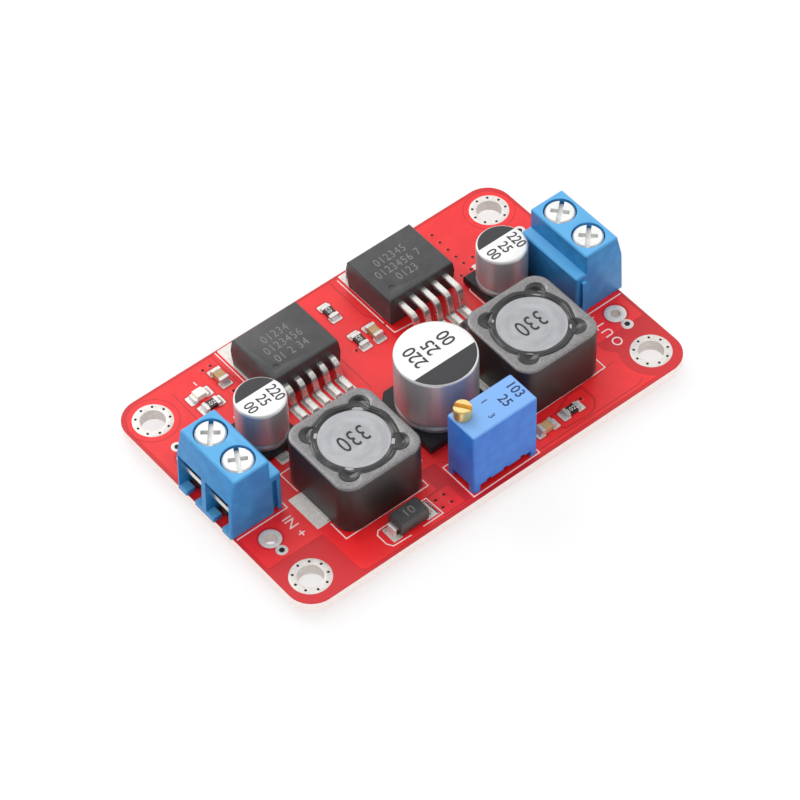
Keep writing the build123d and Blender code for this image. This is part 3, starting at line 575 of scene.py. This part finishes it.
boardWords = [  # words, x, y, turn, height, spacing
    ("IN", -22.75, -7.35, -90, 1.35, 1.0), ("+", -22.7, -9.4, -90, 1.3, 1.0), ("OUT", 23.7, -9.6, 90, 1.35, 1.3),
    ("+", 23.7, -6.5, 90, 1.1, 1.0), ("-", -22.75, 7.4, -90, 1.3, 1.0), ("-", 23.7, 7.4, 90, 1.3, 1.0)]
inkParts = [trace(path, ink["width"], inkLow, inkHigh) for path in inkLines]
inkParts.append(trace(inkLoop, ink["width"], inkLow, inkHigh, True))
inkParts += [lettering(words, x, y, inkLow, turn, height, ink["letterDepth"], spacing=spacing)
             for words, x, y, turn, height, spacing in boardWords]
assemble("board_legend", inkParts, legend)
print("board surface is made")

# terminal blocks
# the top tone is a painted sheen: upward faces are painted paler, as if lit from above
blueLook = {"light": (50, 137, 198), "dark": (38, 122, 185), "top": (90, 168, 220), "grain": 1.4, "shine": 0.35,
            "roughness": 0.3, "depth": 0.004, "edge": 0.1}
terminalLooks = {
    "contact_tin": ((236, 232, 226), (206, 202, 196), 0.8, {"Metallic": 1.0}, (0.16, 0.3), 0.006),
    "cage_plate": ((222, 220, 214), (190, 188, 182), 0.7, {"Metallic": 1.0}, (0.2, 0.34), 0.006),
    "screw_steel": ((244, 245, 243), (222, 223, 221), 0.3, {"Metallic": 0.55}, (0.34, 0.5), 0.012)}
terminalBlue = paintedSheenMoulding("terminal_blue", blueLook)
for end in ("input", "output"):
    soften(end + "_terminal_housing", end + "_terminal_body", terminalBlue, blueLook["edge"])
for finish, part in zip(mottledSet(terminalLooks), ("contact", "cage", "screw")):
    paint(finish, *[f"{end}_{pole}_{part}" for end in ("input", "output") for pole in ("minus", "plus")])
print("terminal blocks are finished")

# trimmer
# the top tone is a painted sheen: upward faces are painted paler, as if lit from above
trimmerLook = {"light": (44, 118, 208), "dark": (34, 104, 198), "top": (120, 170, 230), "grain": 1.6, "shine": 0.5,
               "roughness": 0.34, "depth": 0.005, "edge": 0.12, "inkSunk": 0.004, "inkDepth": 0.016}
trimmerLooks = {
    "base_resin": ((70, 84, 120), (44, 56, 92), 0.5, {}, (0.4, 0.55), 0.01),
    "turned_brass": ((255, 226, 156), (242, 200, 122), 0.25, {"Metallic": 0.85}, (0.26, 0.4), 0.008, (1, 1, 5)),
    "white_nylon": ((236, 234, 226), (222, 220, 210), 0.5, {}, (0.35, 0.5), 0.004),
    "wiper_spring": ((226, 190, 130), (196, 158, 104), 0.2, {"Metallic": 1.0}, (0.2, 0.35), 0.004),
    "element_ceramic": ((226, 222, 214), (196, 192, 186), 0.3, {}, (0.4, 0.6), 0.006),
    "blue_print": ((18, 34, 84), (28, 48, 104), 0.15, {}, (0.45, 0.6), 0.003)}
trimmerWords = [  # words, x, y, height, thickening, share of the width
    ("103", 4.25, -15.35, 1.35, 0.02, 0.9), ("25", 2.3, -15.75, 1.35, 0.02, 0.9),
    ("1", 0.35, -14.3, 0.85, 0.01, 1.0), ("3", -0.35, -16.5, 0.85, 0.01, 1.0)]
soften("trimmer_case", "trimmer_body", paintedSheenMoulding("trimmer_blue", trimmerLook), trimmerLook["edge"])
resin, brass, nylon, spring, cermet, blueInk = mottledSet(trimmerLooks)
for finish, part in ((resin, "base"), (brass, "adjuster"), (nylon, "wheel"), (spring, "wiper"), (cermet, "element"),
                     (solder, "pins")):
    paint(finish, "trimmer_" + part)
inkLevel = span("trimmer_case")[5] - trimmerLook["inkSunk"]
trimmerMarks = [lettering(words, x, y, inkLevel, -90, height, trimmerLook["inkDepth"], thicken, narrow=narrow)
                for words, x, y, height, thicken, narrow in trimmerWords]
assemble("trimmer_print", trimmerMarks, blueInk)
print("trimmer is finished")

# electrolytic capacitors
canLook = {"top": (238, 238, 238), "side": (206, 206, 210), "line": (150, 150, 156), "print": (48, 48, 51),
           "rounding": 0.42, "rows": ("220", "25", "00"), "rowPitch": 1.28, "shift": 0.2, "thicken": 0.018,
           "narrow": 0.86, "inkSunk": 0.002, "inkDepth": 0.014}
canLooks = {
    "black_print": ((40, 40, 44), (58, 58, 62), 0.12, {}, (0.45, 0.6), 0.002),
    "black_base": ((38, 38, 40), (24, 24, 26), 0.4, {"Specular IOR Level": 0.4}, (0.4, 0.55), 0.008)}
smallCan = {"printSide": 1, "printFrom": 0.95, "turn": -90, "letter": 1.4}
largeCan = {"printSide": -1, "printFrom": 1.6, "turn": 90, "letter": 1.8}
cans = {"input": smallCan, "output": smallCan, "link": largeCan}


def canFinish(name, x, y, radius, high, can):
    # aluminium with fine upright drawing lines; its top has a dark segment past a line across it, inside a rim
    made = Finish(name, {"Specular IOR Level": 0.6})
    cx, cy, cz = made.axes(made.place((x, y, 0)))
    lines = made.noise(0.22, made.place((x, y, 0), (1, 1, 0.04)), 3.0)
    speck = made.noise(0.12)
    crown = cz.rise(high - 0.34, high - 0.28)
    out = (cx * cx + cy * cy) ** 0.5
    segment = (cy * can["printSide"]).rise(can["printFrom"] - 0.03, can["printFrom"] + 0.03)
    printed = crown * segment * (1 - out.rise(radius - 0.24, radius - 0.18))
    metal = made.blend(crown, tone(*canLook["side"]), tone(*canLook["top"]))
    metal = made.blend((1 - crown) * lines.rise(0.35, 0.7) * 0.14, metal, tone(*canLook["line"]))
    made.feed("Base Color", made.blend(printed, metal, tone(*canLook["print"])))
    made.feed("Metallic", (1 - printed * 0.85) * (0.64 + crown * 0.16))
    made.feed("Roughness", 0.36 + crown * 0.02 + lines * 0.1 + printed * 0.1)
    return made.bump(lines * (1 - crown) * 0.4 + speck * crown * 0.8, 0.006)


blackInk, blackBase = mottledSet(canLooks)
canMarks = []
for name, can in cans.items():
    x0, x1, y0, y1, low, high = span(name + "_capacitor_can")
    x, y, radius = (x0 + x1) / 2, (y0 + y1) / 2, (y1 - y0) / 2
    body = rounded([(radius - 0.5, low), (radius - 0.05, low), (radius, low + 0.6), (radius - 0.3, low + 0.9),
                    (radius, low + 1.2), (radius, high), (radius - 1.2, high)],
                   [0, 0.1, 0.14, 0.16, 0.14, canLook["rounding"], 0], 7)
    profile = np.vstack([[(0, low)], body, [(0, high)]])
    shell = canFinish(name + "_can_metal", x, y, radius, high, can)
    assemble(name + "_capacitor_shell", [revolve(profile, x, y, 128)], shell, sharp=50,
             stands=[name + "_capacitor_can"])
    up = (-math.sin(math.radians(can["turn"])), math.cos(math.radians(can["turn"])))
    shift = -can["printSide"] * radius * canLook["shift"]
    for place, words in enumerate(canLook["rows"]):
        away = (1 - place) * can["letter"] * canLook["rowPitch"]
        canMarks.append(lettering(words, x + up[0] * away, y + shift + up[1] * away, high - canLook["inkSunk"],
                                  can["turn"], can["letter"], canLook["inkDepth"],
                                  can["letter"] * canLook["thicken"], narrow=canLook["narrow"]))
assemble("capacitor_print", canMarks, blackInk)
paint(blackBase, *[name + "_capacitor_base" for name in cans])
paint(solder, *[name + "_capacitor_leads" for name in cans])
print("capacitors are finished")

# inductors
ferriteLook = {"top": (146, 144, 145), "topDark": (124, 122, 123), "side": (60, 52, 51), "sideDark": (48, 41, 40),
               "drum": (182, 183, 186), "drumDark": (154, 155, 158)}
inductorLooks = {
    "black_adhesive": ((40, 40, 42), (20, 20, 22), 0.8, {"Coat Weight": 0.35, "Coat Roughness": 0.1},
                       (0.2, 0.32), 0.02),
    "enamelled_copper": ((176, 96, 52), (140, 70, 36), 0.3, {"Metallic": 1.0}, (0.2, 0.35), 0.006, (1, 1, 6)),
    "ferrite_print": ((36, 36, 38), (52, 52, 54), 0.12, {}, (0.5, 0.65), 0.002)}
shieldShape = {"half": 6.025, "corner": 2.2, "edge": 0.34, "bore": 5.1, "lobeAt": 5.05, "lobe": 1.24, "blend": 9}
glueShape = {"inner": 4.22, "overlap": 0.07, "crown": 0.1, "dip": 0.16, "dipWidth": 0.17, "lift": 0.012,
             "depth": 0.5}
inductorWords = {"words": "330", "height": 2.5, "depth": 0.014, "thicken": 0.01, "spacing": 1.1, "narrow": 0.72}
around = np.arange(720) / 720 * tau  # the directions of the polar grids below

ferrite = Finish("ferrite_shield", {"Specular IOR Level": 0.6})
pits = ferrite.noise(0.22, detail=4.0)
upper = ferrite.upward().rise(0.2, 0.8)
flank = ferrite.blend(ferrite.noise(2.2), tone(*ferriteLook["sideDark"]), tone(*ferriteLook["side"]))
crest = ferrite.blend(pits.rise(0.3, 0.7), tone(*ferriteLook["topDark"]), tone(*ferriteLook["top"]))
ferrite.feed("Base Color", ferrite.blend(upper, flank, crest))
ferrite.feed("Metallic", 0.35 + upper * 0.15)
ferrite.feed("Roughness", 0.32 + pits * 0.12)
ferrite.bump(pits, 0.014)


def drumFinish(name, x, y):
    # ferrite ground on a wheel: irregular arcs round the middle, fine pits over them
    made = Finish(name, {"Specular IOR Level": 0.6, "Metallic": 0.45})
    spot = made.place((x, y, 0))
    cx, cy = made.axes(spot)[:2]
    away = made.node("ShaderNodeVectorMath", {"operation": "LENGTH"}, {0: spot}, 1)
    rings = made.node("ShaderNodeCombineXYZ", None, {0: away * 3.2, 1: cx * 0.35, 2: cy * 0.35})
    arcs = made.noise(1.0, rings, 4.0)
    fine = made.noise(0.14, detail=3.0)
    made.feed("Base Color", made.blend(arcs.rise(0.3, 0.7) * 0.6 + fine * 0.4, tone(*ferriteLook["drumDark"]),
                                       tone(*ferriteLook["drum"])))
    made.feed("Roughness", 0.32 + arcs * 0.14)
    return made.bump(fine * 0.7 + arcs, 0.012)


def offCorner():  # the angle from each direction to the nearest corner's
    return (around % (tau / 4)) - tau / 8


def lobedBore():
    # how far the bore reaches: the larger of a circle and a round lobe to each corner, blended where they meet
    # as log(exp(k a) + exp(k b)) / k
    off, blend = offCorner(), shieldShape["blend"]
    across = shieldShape["lobeAt"] * np.sin(off)
    reach = shieldShape["lobeAt"] * np.cos(off) + np.sqrt(np.maximum(shieldShape["lobe"] ** 2 - across ** 2, 0))
    lobes = np.where(np.abs(across) < shieldShape["lobe"], reach, 0)
    return np.log(np.exp(blend * lobes) + np.exp(blend * shieldShape["bore"])) / blend


def roundedSquare(inset):
    # the distance along each direction to a square's flat side or, past that, to the arc of its corner
    c, s = np.abs(np.cos(around)), np.abs(np.sin(around))
    h, r = shieldShape["half"] - inset, shieldShape["corner"] - inset
    k = h - r
    flat = h / np.maximum(c, s)
    along = k * (c + s)
    arc = along + np.sqrt(np.maximum(r * r - (k * k * 2 - along * along), 0))
    return np.where(np.minimum(c, s) * flat > k, arc, flat)


def ferriteBox(x, y, low, high):
    # rows round the upright axis: up the rounded square's side, over its rounded edge, across the rim and
    # down the lobed bore
    edge, bore = shieldShape["edge"], lobedBore()
    rows = [(roundedSquare(0), low), (roundedSquare(0), high - edge)]
    for step in range(1, 6):
        a = step / 5 * tau / 4
        rows.append((roundedSquare(edge * (1 - math.cos(a))), high - edge + edge * math.sin(a)))
    rows += [(bore + 0.12, high), (bore + 0.04, high - 0.03), (bore, high - 0.12), (bore, low)]
    sheet = [np.stack([x + r * np.cos(around), y + r * np.sin(around), np.full(len(around), z)], -1)
             for r, z in rows]
    return skin(np.stack(sheet), loopU=True)


def adhesive(x, y, level, drum, seed):
    # a polar sheet from over the drum's edge out to the lobed bore: its height goes from the drum's top to
    # the shield's, plus a crown, minus a dip in each lobe, plus slow waves round it
    share = np.linspace(0, 1, 16)[:, None]
    wander = 0.02 * np.sin(3 * around + seed) + 0.012 * np.sin(8 * around + 2 * seed)
    inner = glueShape["inner"] + wander
    outer = lobedBore() + glueShape["overlap"] * (1 + np.sin(9 * around + seed))
    radius = inner + (outer - inner) * share
    swell = np.exp(-(offCorner() / glueShape["dipWidth"]) ** 2)  # 1 in the middle of a lobe
    bulge = np.sin(math.pi * share)
    waves = 0.03 * np.sin(5 * around + seed) + 0.025 * np.sin(11 * around + 2 * seed)
    height = drum + (level - drum) * share + glueShape["lift"] + bulge * (glueShape["crown"] * (1 - swell) + waves)
    height = height + 0.035 * np.cos(3 * tau * share + 2 * np.sin(2 * around + seed)) * bulge
    height = height - glueShape["dip"] * swell * bulge * (1 + 0.7 * np.cos(1.5 * tau * share + seed))
    rows = np.stack([x + radius * np.cos(around), y + radius * np.sin(around), height], -1)
    under = rows[::-1].copy()
    under[..., 2] = level - glueShape["depth"]
    return skin(np.concatenate([rows, under]), loopU=True)


glue, enamel, markInk = mottledSet(inductorLooks)
inductorMarks = []
for name, seed in (("boost", 0.4), ("buck", 2.1)):
    x0, x1, y0, y1, low, high = span(name + "_inductor_shield")
    x, y = (x0 + x1) / 2, (y0 + y1) / 2
    face = span(name + "_inductor_drum")[5]
    assemble(name + "_inductor_box", [ferriteBox(x, y, low, high)], ferrite, sharp=60,
             stands=[name + "_inductor_shield"])
    assemble(name + "_inductor_glue", [adhesive(x, y, high, face, seed)], glue, sharp=60,
             stands=[name + "_inductor_adhesive"])
    paint(drumFinish(name + "_ferrite_drum", x, y), name + "_inductor_drum")
    inductorMarks.append(lettering(x=x - 0.1, y=y + 0.1, z=face - 0.002, turn=180, **inductorWords))
paint(enamel, "boost_inductor_winding", "buck_inductor_winding")
paint(tinned, "boost_inductor_clips", "buck_inductor_clips")
assemble("inductor_print", inductorMarks, markInk)
print("inductors are finished")

# regulators and diodes
epoxyLook = {"edge": 0.1, "diodeEdge": 0.08}
packageLooks = {
    "moulded_epoxy": ((66, 66, 68), (50, 50, 52), 0.16, {"Specular IOR Level": 0.6}, (0.36, 0.48), 0.012),
    "laser_etch": ((132, 128, 124), (110, 106, 103), 0.1, {}, (0.6, 0.75), 0.002),
    "lead_tin": ((246, 244, 240), (226, 223, 218), 0.5, {"Metallic": 0.85}, (0.2, 0.34), 0.008)}
etchRows = {"pitch": 1.65, "left": 0.3, "sunk": 0.003}
etchWords = {"height": 1.25, "depth": 0.01, "spacing": 1.15, "narrow": 0.8}
legShape = {"width": 0.8, "thick": 0.5, "corner": 0.08, "bend": 0.75}
regulators = {"boost": {"rows": ("01234", "0123456", "01 2 34"), "straight": 1.0, "drop": 0.6},
              "buck": {"rows": ("012345", "0123456 7", "0123"), "straight": 2.7, "drop": 0.55}}
epoxy, etch, legTin = mottledSet(packageLooks)
etchParts, legJoints = [], []
for name, regulator in regulators.items():
    x0, x1, y0, y1, low, high = span(name + "_regulator_package")
    soften(name + "_regulator_package", name + "_regulator_body", epoxy, epoxyLook["edge"], 3)
    for place, words in enumerate(regulator["rows"]):
        etchParts.append(lettering(words, (x0 + x1) / 2 - etchRows["left"],
                                   (y0 + y1) / 2 + (1 - place) * etchRows["pitch"], high - etchRows["sunk"], 0,
                                   **etchWords))
    firstX, _, toe, inside, foot, crest = span(name + "_regulator_leads")
    half = legShape["thick"] / 2
    bendY = y0 - regulator["straight"]
    heel = bendY - regulator["drop"]
    path = rounded([(inside, crest - half), (bendY, crest - half), (heel, foot + half), (toe, foot + half)],
                   legShape["bend"], 7)
    legX = [firstX + legShape["width"] / 2 + legRow["pitch"] * k for k in range(legRow["count"])]
    legs = [ribbon(path, legShape["width"], legShape["thick"], legShape["corner"], x) for x in legX]
    assemble(name + "_regulator_legs", legs, legTin, sharp=38,
             stands=[name + "_regulator_leads"])
    legJoints += [(x, toe, heel + half) for x in legX]
assemble("regulator_etch", etchParts, etch)
paint(tinned, "boost_regulator_tab", "buck_regulator_tab")
soften("diode_bodies", "diode_mouldings", epoxy, epoxyLook["diodeEdge"])
paint(legTin, "diode_leads")
diodeMark = lettering("10", -12.3, -16.1, span("diode_bodies")[5] - etchRows["sunk"], 0, 1.2, etchWords["depth"])
assemble("diode_etch", [diodeMark], etch)
print("regulators and diodes are finished")

# chips
chipLook = {"ceramicEdge": 0.06, "glazeEdge": 0.04, "inkLevel": 0.47}
chipWords = {"words": "102", "height": 0.62, "depth": 0.012, "thicken": 0.012}
chipLooks = {
    "tan_ceramic": ((196, 162, 118), (176, 142, 98), 0.2, {}, (0.35, 0.5), 0.006),
    "resistor_glaze": ((40, 38, 40), (26, 25, 27), 0.2, {"Specular IOR Level": 0.6}, (0.2, 0.35), 0.004),
    "chip_digits": ((216, 214, 208), (196, 194, 190), 0.1, {}, (0.5, 0.6), 0.002),
    "light_ceramic": ((248, 247, 242), (238, 236, 230), 0.25, {}, (0.4, 0.55), 0.005),
    "light_resin": ((252, 250, 238), (246, 242, 224), 0.4, {"Coat Weight": 0.4}, (0.12, 0.22), 0.004)}
tan, glaze, chipInk, whiteCeramic, lens = mottledSet(chipLooks)
soften("chip_capacitor_bodies", "chip_capacitor_ceramic", tan, chipLook["ceramicEdge"])
soften("chip_resistor_bodies", "chip_resistor_glaze", glaze, chipLook["glazeEdge"])
paint(solder, "chip_capacitor_ends", "chip_resistor_ends")
paint(whiteCeramic, "power_light_base")
paint(lens, "power_light_lens")
digits = [lettering(x=x, y=y, z=boardTop + chipLook["inkLevel"], turn=turn, **chipWords)
          for x, y, turn in chips["resistor"]]
assemble("chip_resistor_digits", digits, chipInk)


def fillet(reach, width, height, start=0):
    # a solder fillet in its own frame: it falls as a hollow curve away from the part, and its two
    # flanks fall off with the sixth power of the distance from the middle
    u = np.linspace(0, 1, 10)[:, None]
    v = np.linspace(-1, 1, 13)[None]
    rows = np.empty((10, 13, 3))
    rows[..., 0] = start + reach * u
    rows[..., 1] = width / 2 * (1 - 0.16 * u ** 2) * v
    rows[..., 2] = boardTop + 0.012 + height * (1 - u) ** 2.1 * (1 - np.abs(v) ** 6)
    return rows


def filletPair(x, y, turn, start, *size):  # two fillets that face away from a middle
    rows = fillet(*size, start)
    return [slab(spun(rows, x, y, turn + flip), boardTop) for flip in (0, 180)]


# solder on top of the board: each kind of fillet's reach, width and height
filletSizes = {"chip": (0.62, 1.4), "chipShare": 0.9, "chipOverlap": 0.02, "toe": (0.35, 1.05, 0.4),
               "heel": (0.3, 1.05, 0.4), "large": 0.6}
largeFillets = [  # pairs at the diodes' and the capacitors' leads: x, y, turn, distance from there, width, height
    (-12.4, -16.1, 0, 2.6, 1.7, 1.1), (-10.8, 0.8, 0, 2.6, 1.7, 1.0), (12.5, 0.65, 0, 2.6, 1.7, 1.0),
    (-17.46, 4.45, 90, 4.05, 1.3, 0.3), (18.97, 4.45, 90, 4.05, 1.3, 0.3), (0.9, -5.05, 90, 5.9, 1.4, 0.35)]
fillets = []
for kind, places in chips.items():
    for x, y, turn in places:
        fillets += filletPair(x, y, turn, chipSize["length"] / 2 - filletSizes["chipOverlap"], *filletSizes["chip"],
                              chipSize[kind] * filletSizes["chipShare"])
for x, toe, heel in legJoints:
    for at, turn, kind in ((toe, -90, "toe"), (heel, 90, "heel")):
        fillets.append(slab(spun(fillet(*filletSizes[kind]), x, at, turn), boardTop))
for x, y, turn, start, width, height in largeFillets:
    fillets += filletPair(x, y, turn, start, filletSizes["large"], width, height)
assemble("board_solder_fillets", fillets, solder, sharp=60)

# under the board: a cone of solder round each pin, lands, copper, and dark discs of painted shade that stand for
# holes
under = {"skin": -0.001, "pour": -0.025, "land": -0.03, "testHole": -0.035, "pinLand": 1.4, "pinClear": 1.7}
terminalPins = [(-25.95, -2.54), (-25.95, 2.54), (26.4, -2.54), (26.4, 2.54)]
pins = terminalPins + [(-1.94, -15.45), (0.6, -15.45), (3.14, -15.45)]
cone = rounded([(1.25, 0.0), (1.0, -0.12), (0.5, -0.5), (0.38, -0.88), (0.0, -0.9)], [0, 0.1, 0.3, 0.12, 0], 5)
jointParts = [revolve(np.vstack([[(0, 0.0)], cone]), x, y, 40) for x, y in pins]
assemble("underside_solder", jointParts, solder, sharp=60, stands=["pin_solder_joints"])
underLands = [revolve([(hole, under["skin"]), (hole, under["land"]), (outer, under["land"]), (outer, under["skin"])],
                      x, y, 48, True) for x, y, outer, hole in roundLands]
underLands += [disc(x, y, under["pinLand"], under["land"], under["skin"], 40) for x, y in pins]
assemble("underside_lands", underLands, tinned)
underEdge = rounded(box2d(-28.8, 28.8, -18.2, 18.2), 3.2, 10, True)
underHoles = [circle(x, y, outer + copper["clear"]) for x, y, outer, hole in roundLands]
underHoles += [circle(x, y, under["pinClear"]) for x, y in terminalPins]
underHoles.append(rounded(box2d(-3.75, 4.95, -17.2, -13.7), 0.6, 5, True))  # round the trimmer's pins
assemble("underside_pour", [plate([underEdge] + underHoles, under["pour"], under["skin"])], pour)
# painted shade: dark discs under the vias and test pad holes stand for the holes
underHoleShade = [disc(x, y, drills["via"], under["land"], under["skin"], 16) for x, y in vias]
underHoleShade += [disc(x, y, drills["test"], under["testHole"], under["skin"], 24) for x, y in testPads]
assemble("underside_via_hole_shade", underHoleShade, drill, sharp=38)
print("solder is made")

# the floor shows the camera mostly plain white and keeps a share of the shadow
stageLook = {"colour": 0.93, "grain": 0.01, "plain": 0.75, "size": 3.0, "drop": 0.02}  # size in metres
floorZ = cadBox[0][2] - stageLook["drop"] * mm
bpy.ops.mesh.primitive_plane_add(size=stageLook["size"], location=(0, 0, floorZ))
floor = bpy.context.object
floor.name = "floor"
floorPaint = Finish("pale_floor", {"Specular IOR Level": 0.0, "Roughness": 1.0})
level = stageLook["colour"] + floorPaint.noise(3.0) * stageLook["grain"]
floorPaint.feed("Base Color", floorPaint.node("ShaderNodeCombineColor", None, {0: level, 1: level, 2: level}))
ray = floorPaint.node("ShaderNodeLightPath").socket.node.outputs
seen = Wire(floorPaint, ray["Is Camera Ray"]) + Wire(floorPaint, ray["Is Glossy Ray"])
glow = floorPaint.node("ShaderNodeEmission")
surface = floorPaint.tree.nodes["Material Output"].inputs["Surface"]
mixed = floorPaint.node("ShaderNodeMixShader", None, {0: seen * stageLook["plain"]})
floorPaint.tree.links.new(floorPaint.shader.outputs[0], mixed.socket.node.inputs[1])
floorPaint.tree.links.new(glow.socket, mixed.socket.node.inputs[2])
floorPaint.tree.links.new(mixed.socket, surface)
floor.data.materials.append(floorPaint.owner)

# a white sky for the camera; for the object, brighter overhead, with dimmer reflections from the near side
sky = {"diffuseTop": 1.24, "diffuseLow": 0.38, "glossTop": 1.0, "glossFront": 0.35, "ahead": (0.614, 0.789, 0.5)}
world = bpy.data.worlds.new("soft_sky")
bpy.context.scene.world = world
air = Tree(world)
ray = air.node("ShaderNodeLightPath").socket.node.outputs
isCamera, isGlossy = Wire(air, ray["Is Camera Ray"]), Wire(air, ray["Is Glossy Ray"])
split = air.node("ShaderNodeSeparateXYZ", None, {0: air.node("ShaderNodeTexCoord", output=0)}).socket.node.outputs
wx, wy, wz = (Wire(air, out) for out in split)
ax, ay, az = sky["ahead"]
front = (ax * wx + ay * wy - az * wz).rise(-0.75, 0.1)
gloss = sky["glossFront"] + (sky["glossTop"] - sky["glossFront"]) * front
soft = sky["diffuseLow"] + (sky["diffuseTop"] - sky["diffuseLow"]) * wz.rise(0.0, 0.85)
background = air.tree.nodes["Background"]
air.join(background.inputs["Strength"], isCamera + (1 - isCamera) * (isGlossy * gloss + (1 - isGlossy) * soft))
background.inputs["Color"].default_value = (1, 1, 1, 1)

lamps = {"key": {"at": (-0.05, 0.62, 0.62), "size": 0.5, "power": 2.2},
         "fill": {"at": (0.5, -0.75, 0.45), "size": 0.6, "power": 0.4}}  # metres and watts
for name, lamp in lamps.items():
    data = bpy.data.lights.new(name, "AREA")
    data.energy, data.size, data.shape = lamp["power"], lamp["size"], "SQUARE"
    light = bpy.data.objects.new(name, data)
    bpy.context.scene.collection.objects.link(light)
    back = np.array(lamp["at"]) / np.linalg.norm(lamp["at"])
    light.location = lamp["at"]
    light.rotation_euler = Vector(back.tolist()).to_track_quat("Z", "Y").to_euler()

view = {"at": (-0.165034, -0.211434, 0.323224), "right": (0.773303, -0.633686, -0.021087),
        "up": (0.498895, 0.587616, 0.637033), "back": (-0.391288, -0.50314, 0.770548),
        "lens": 160.087, "sensor": 36.0, "near": 0.01, "far": 20.0}  # metres; lens and sensor in mm
data = bpy.data.cameras.new("photo_view")
data.lens, data.sensor_width, data.clip_start, data.clip_end = [view[k] for k in ("lens", "sensor", "near", "far")]
camera = bpy.data.objects.new("photo_view", data)
bpy.context.scene.collection.objects.link(camera)
axes = np.eye(4)
for column, key in enumerate(("right", "up", "back", "at")):
    axes[:3, column] = view[key]
camera.matrix_world = Matrix(axes.tolist())
bpy.context.scene.camera = camera
bpy.context.scene.view_settings.view_transform = "Standard"
print("stage, light and camera are set")
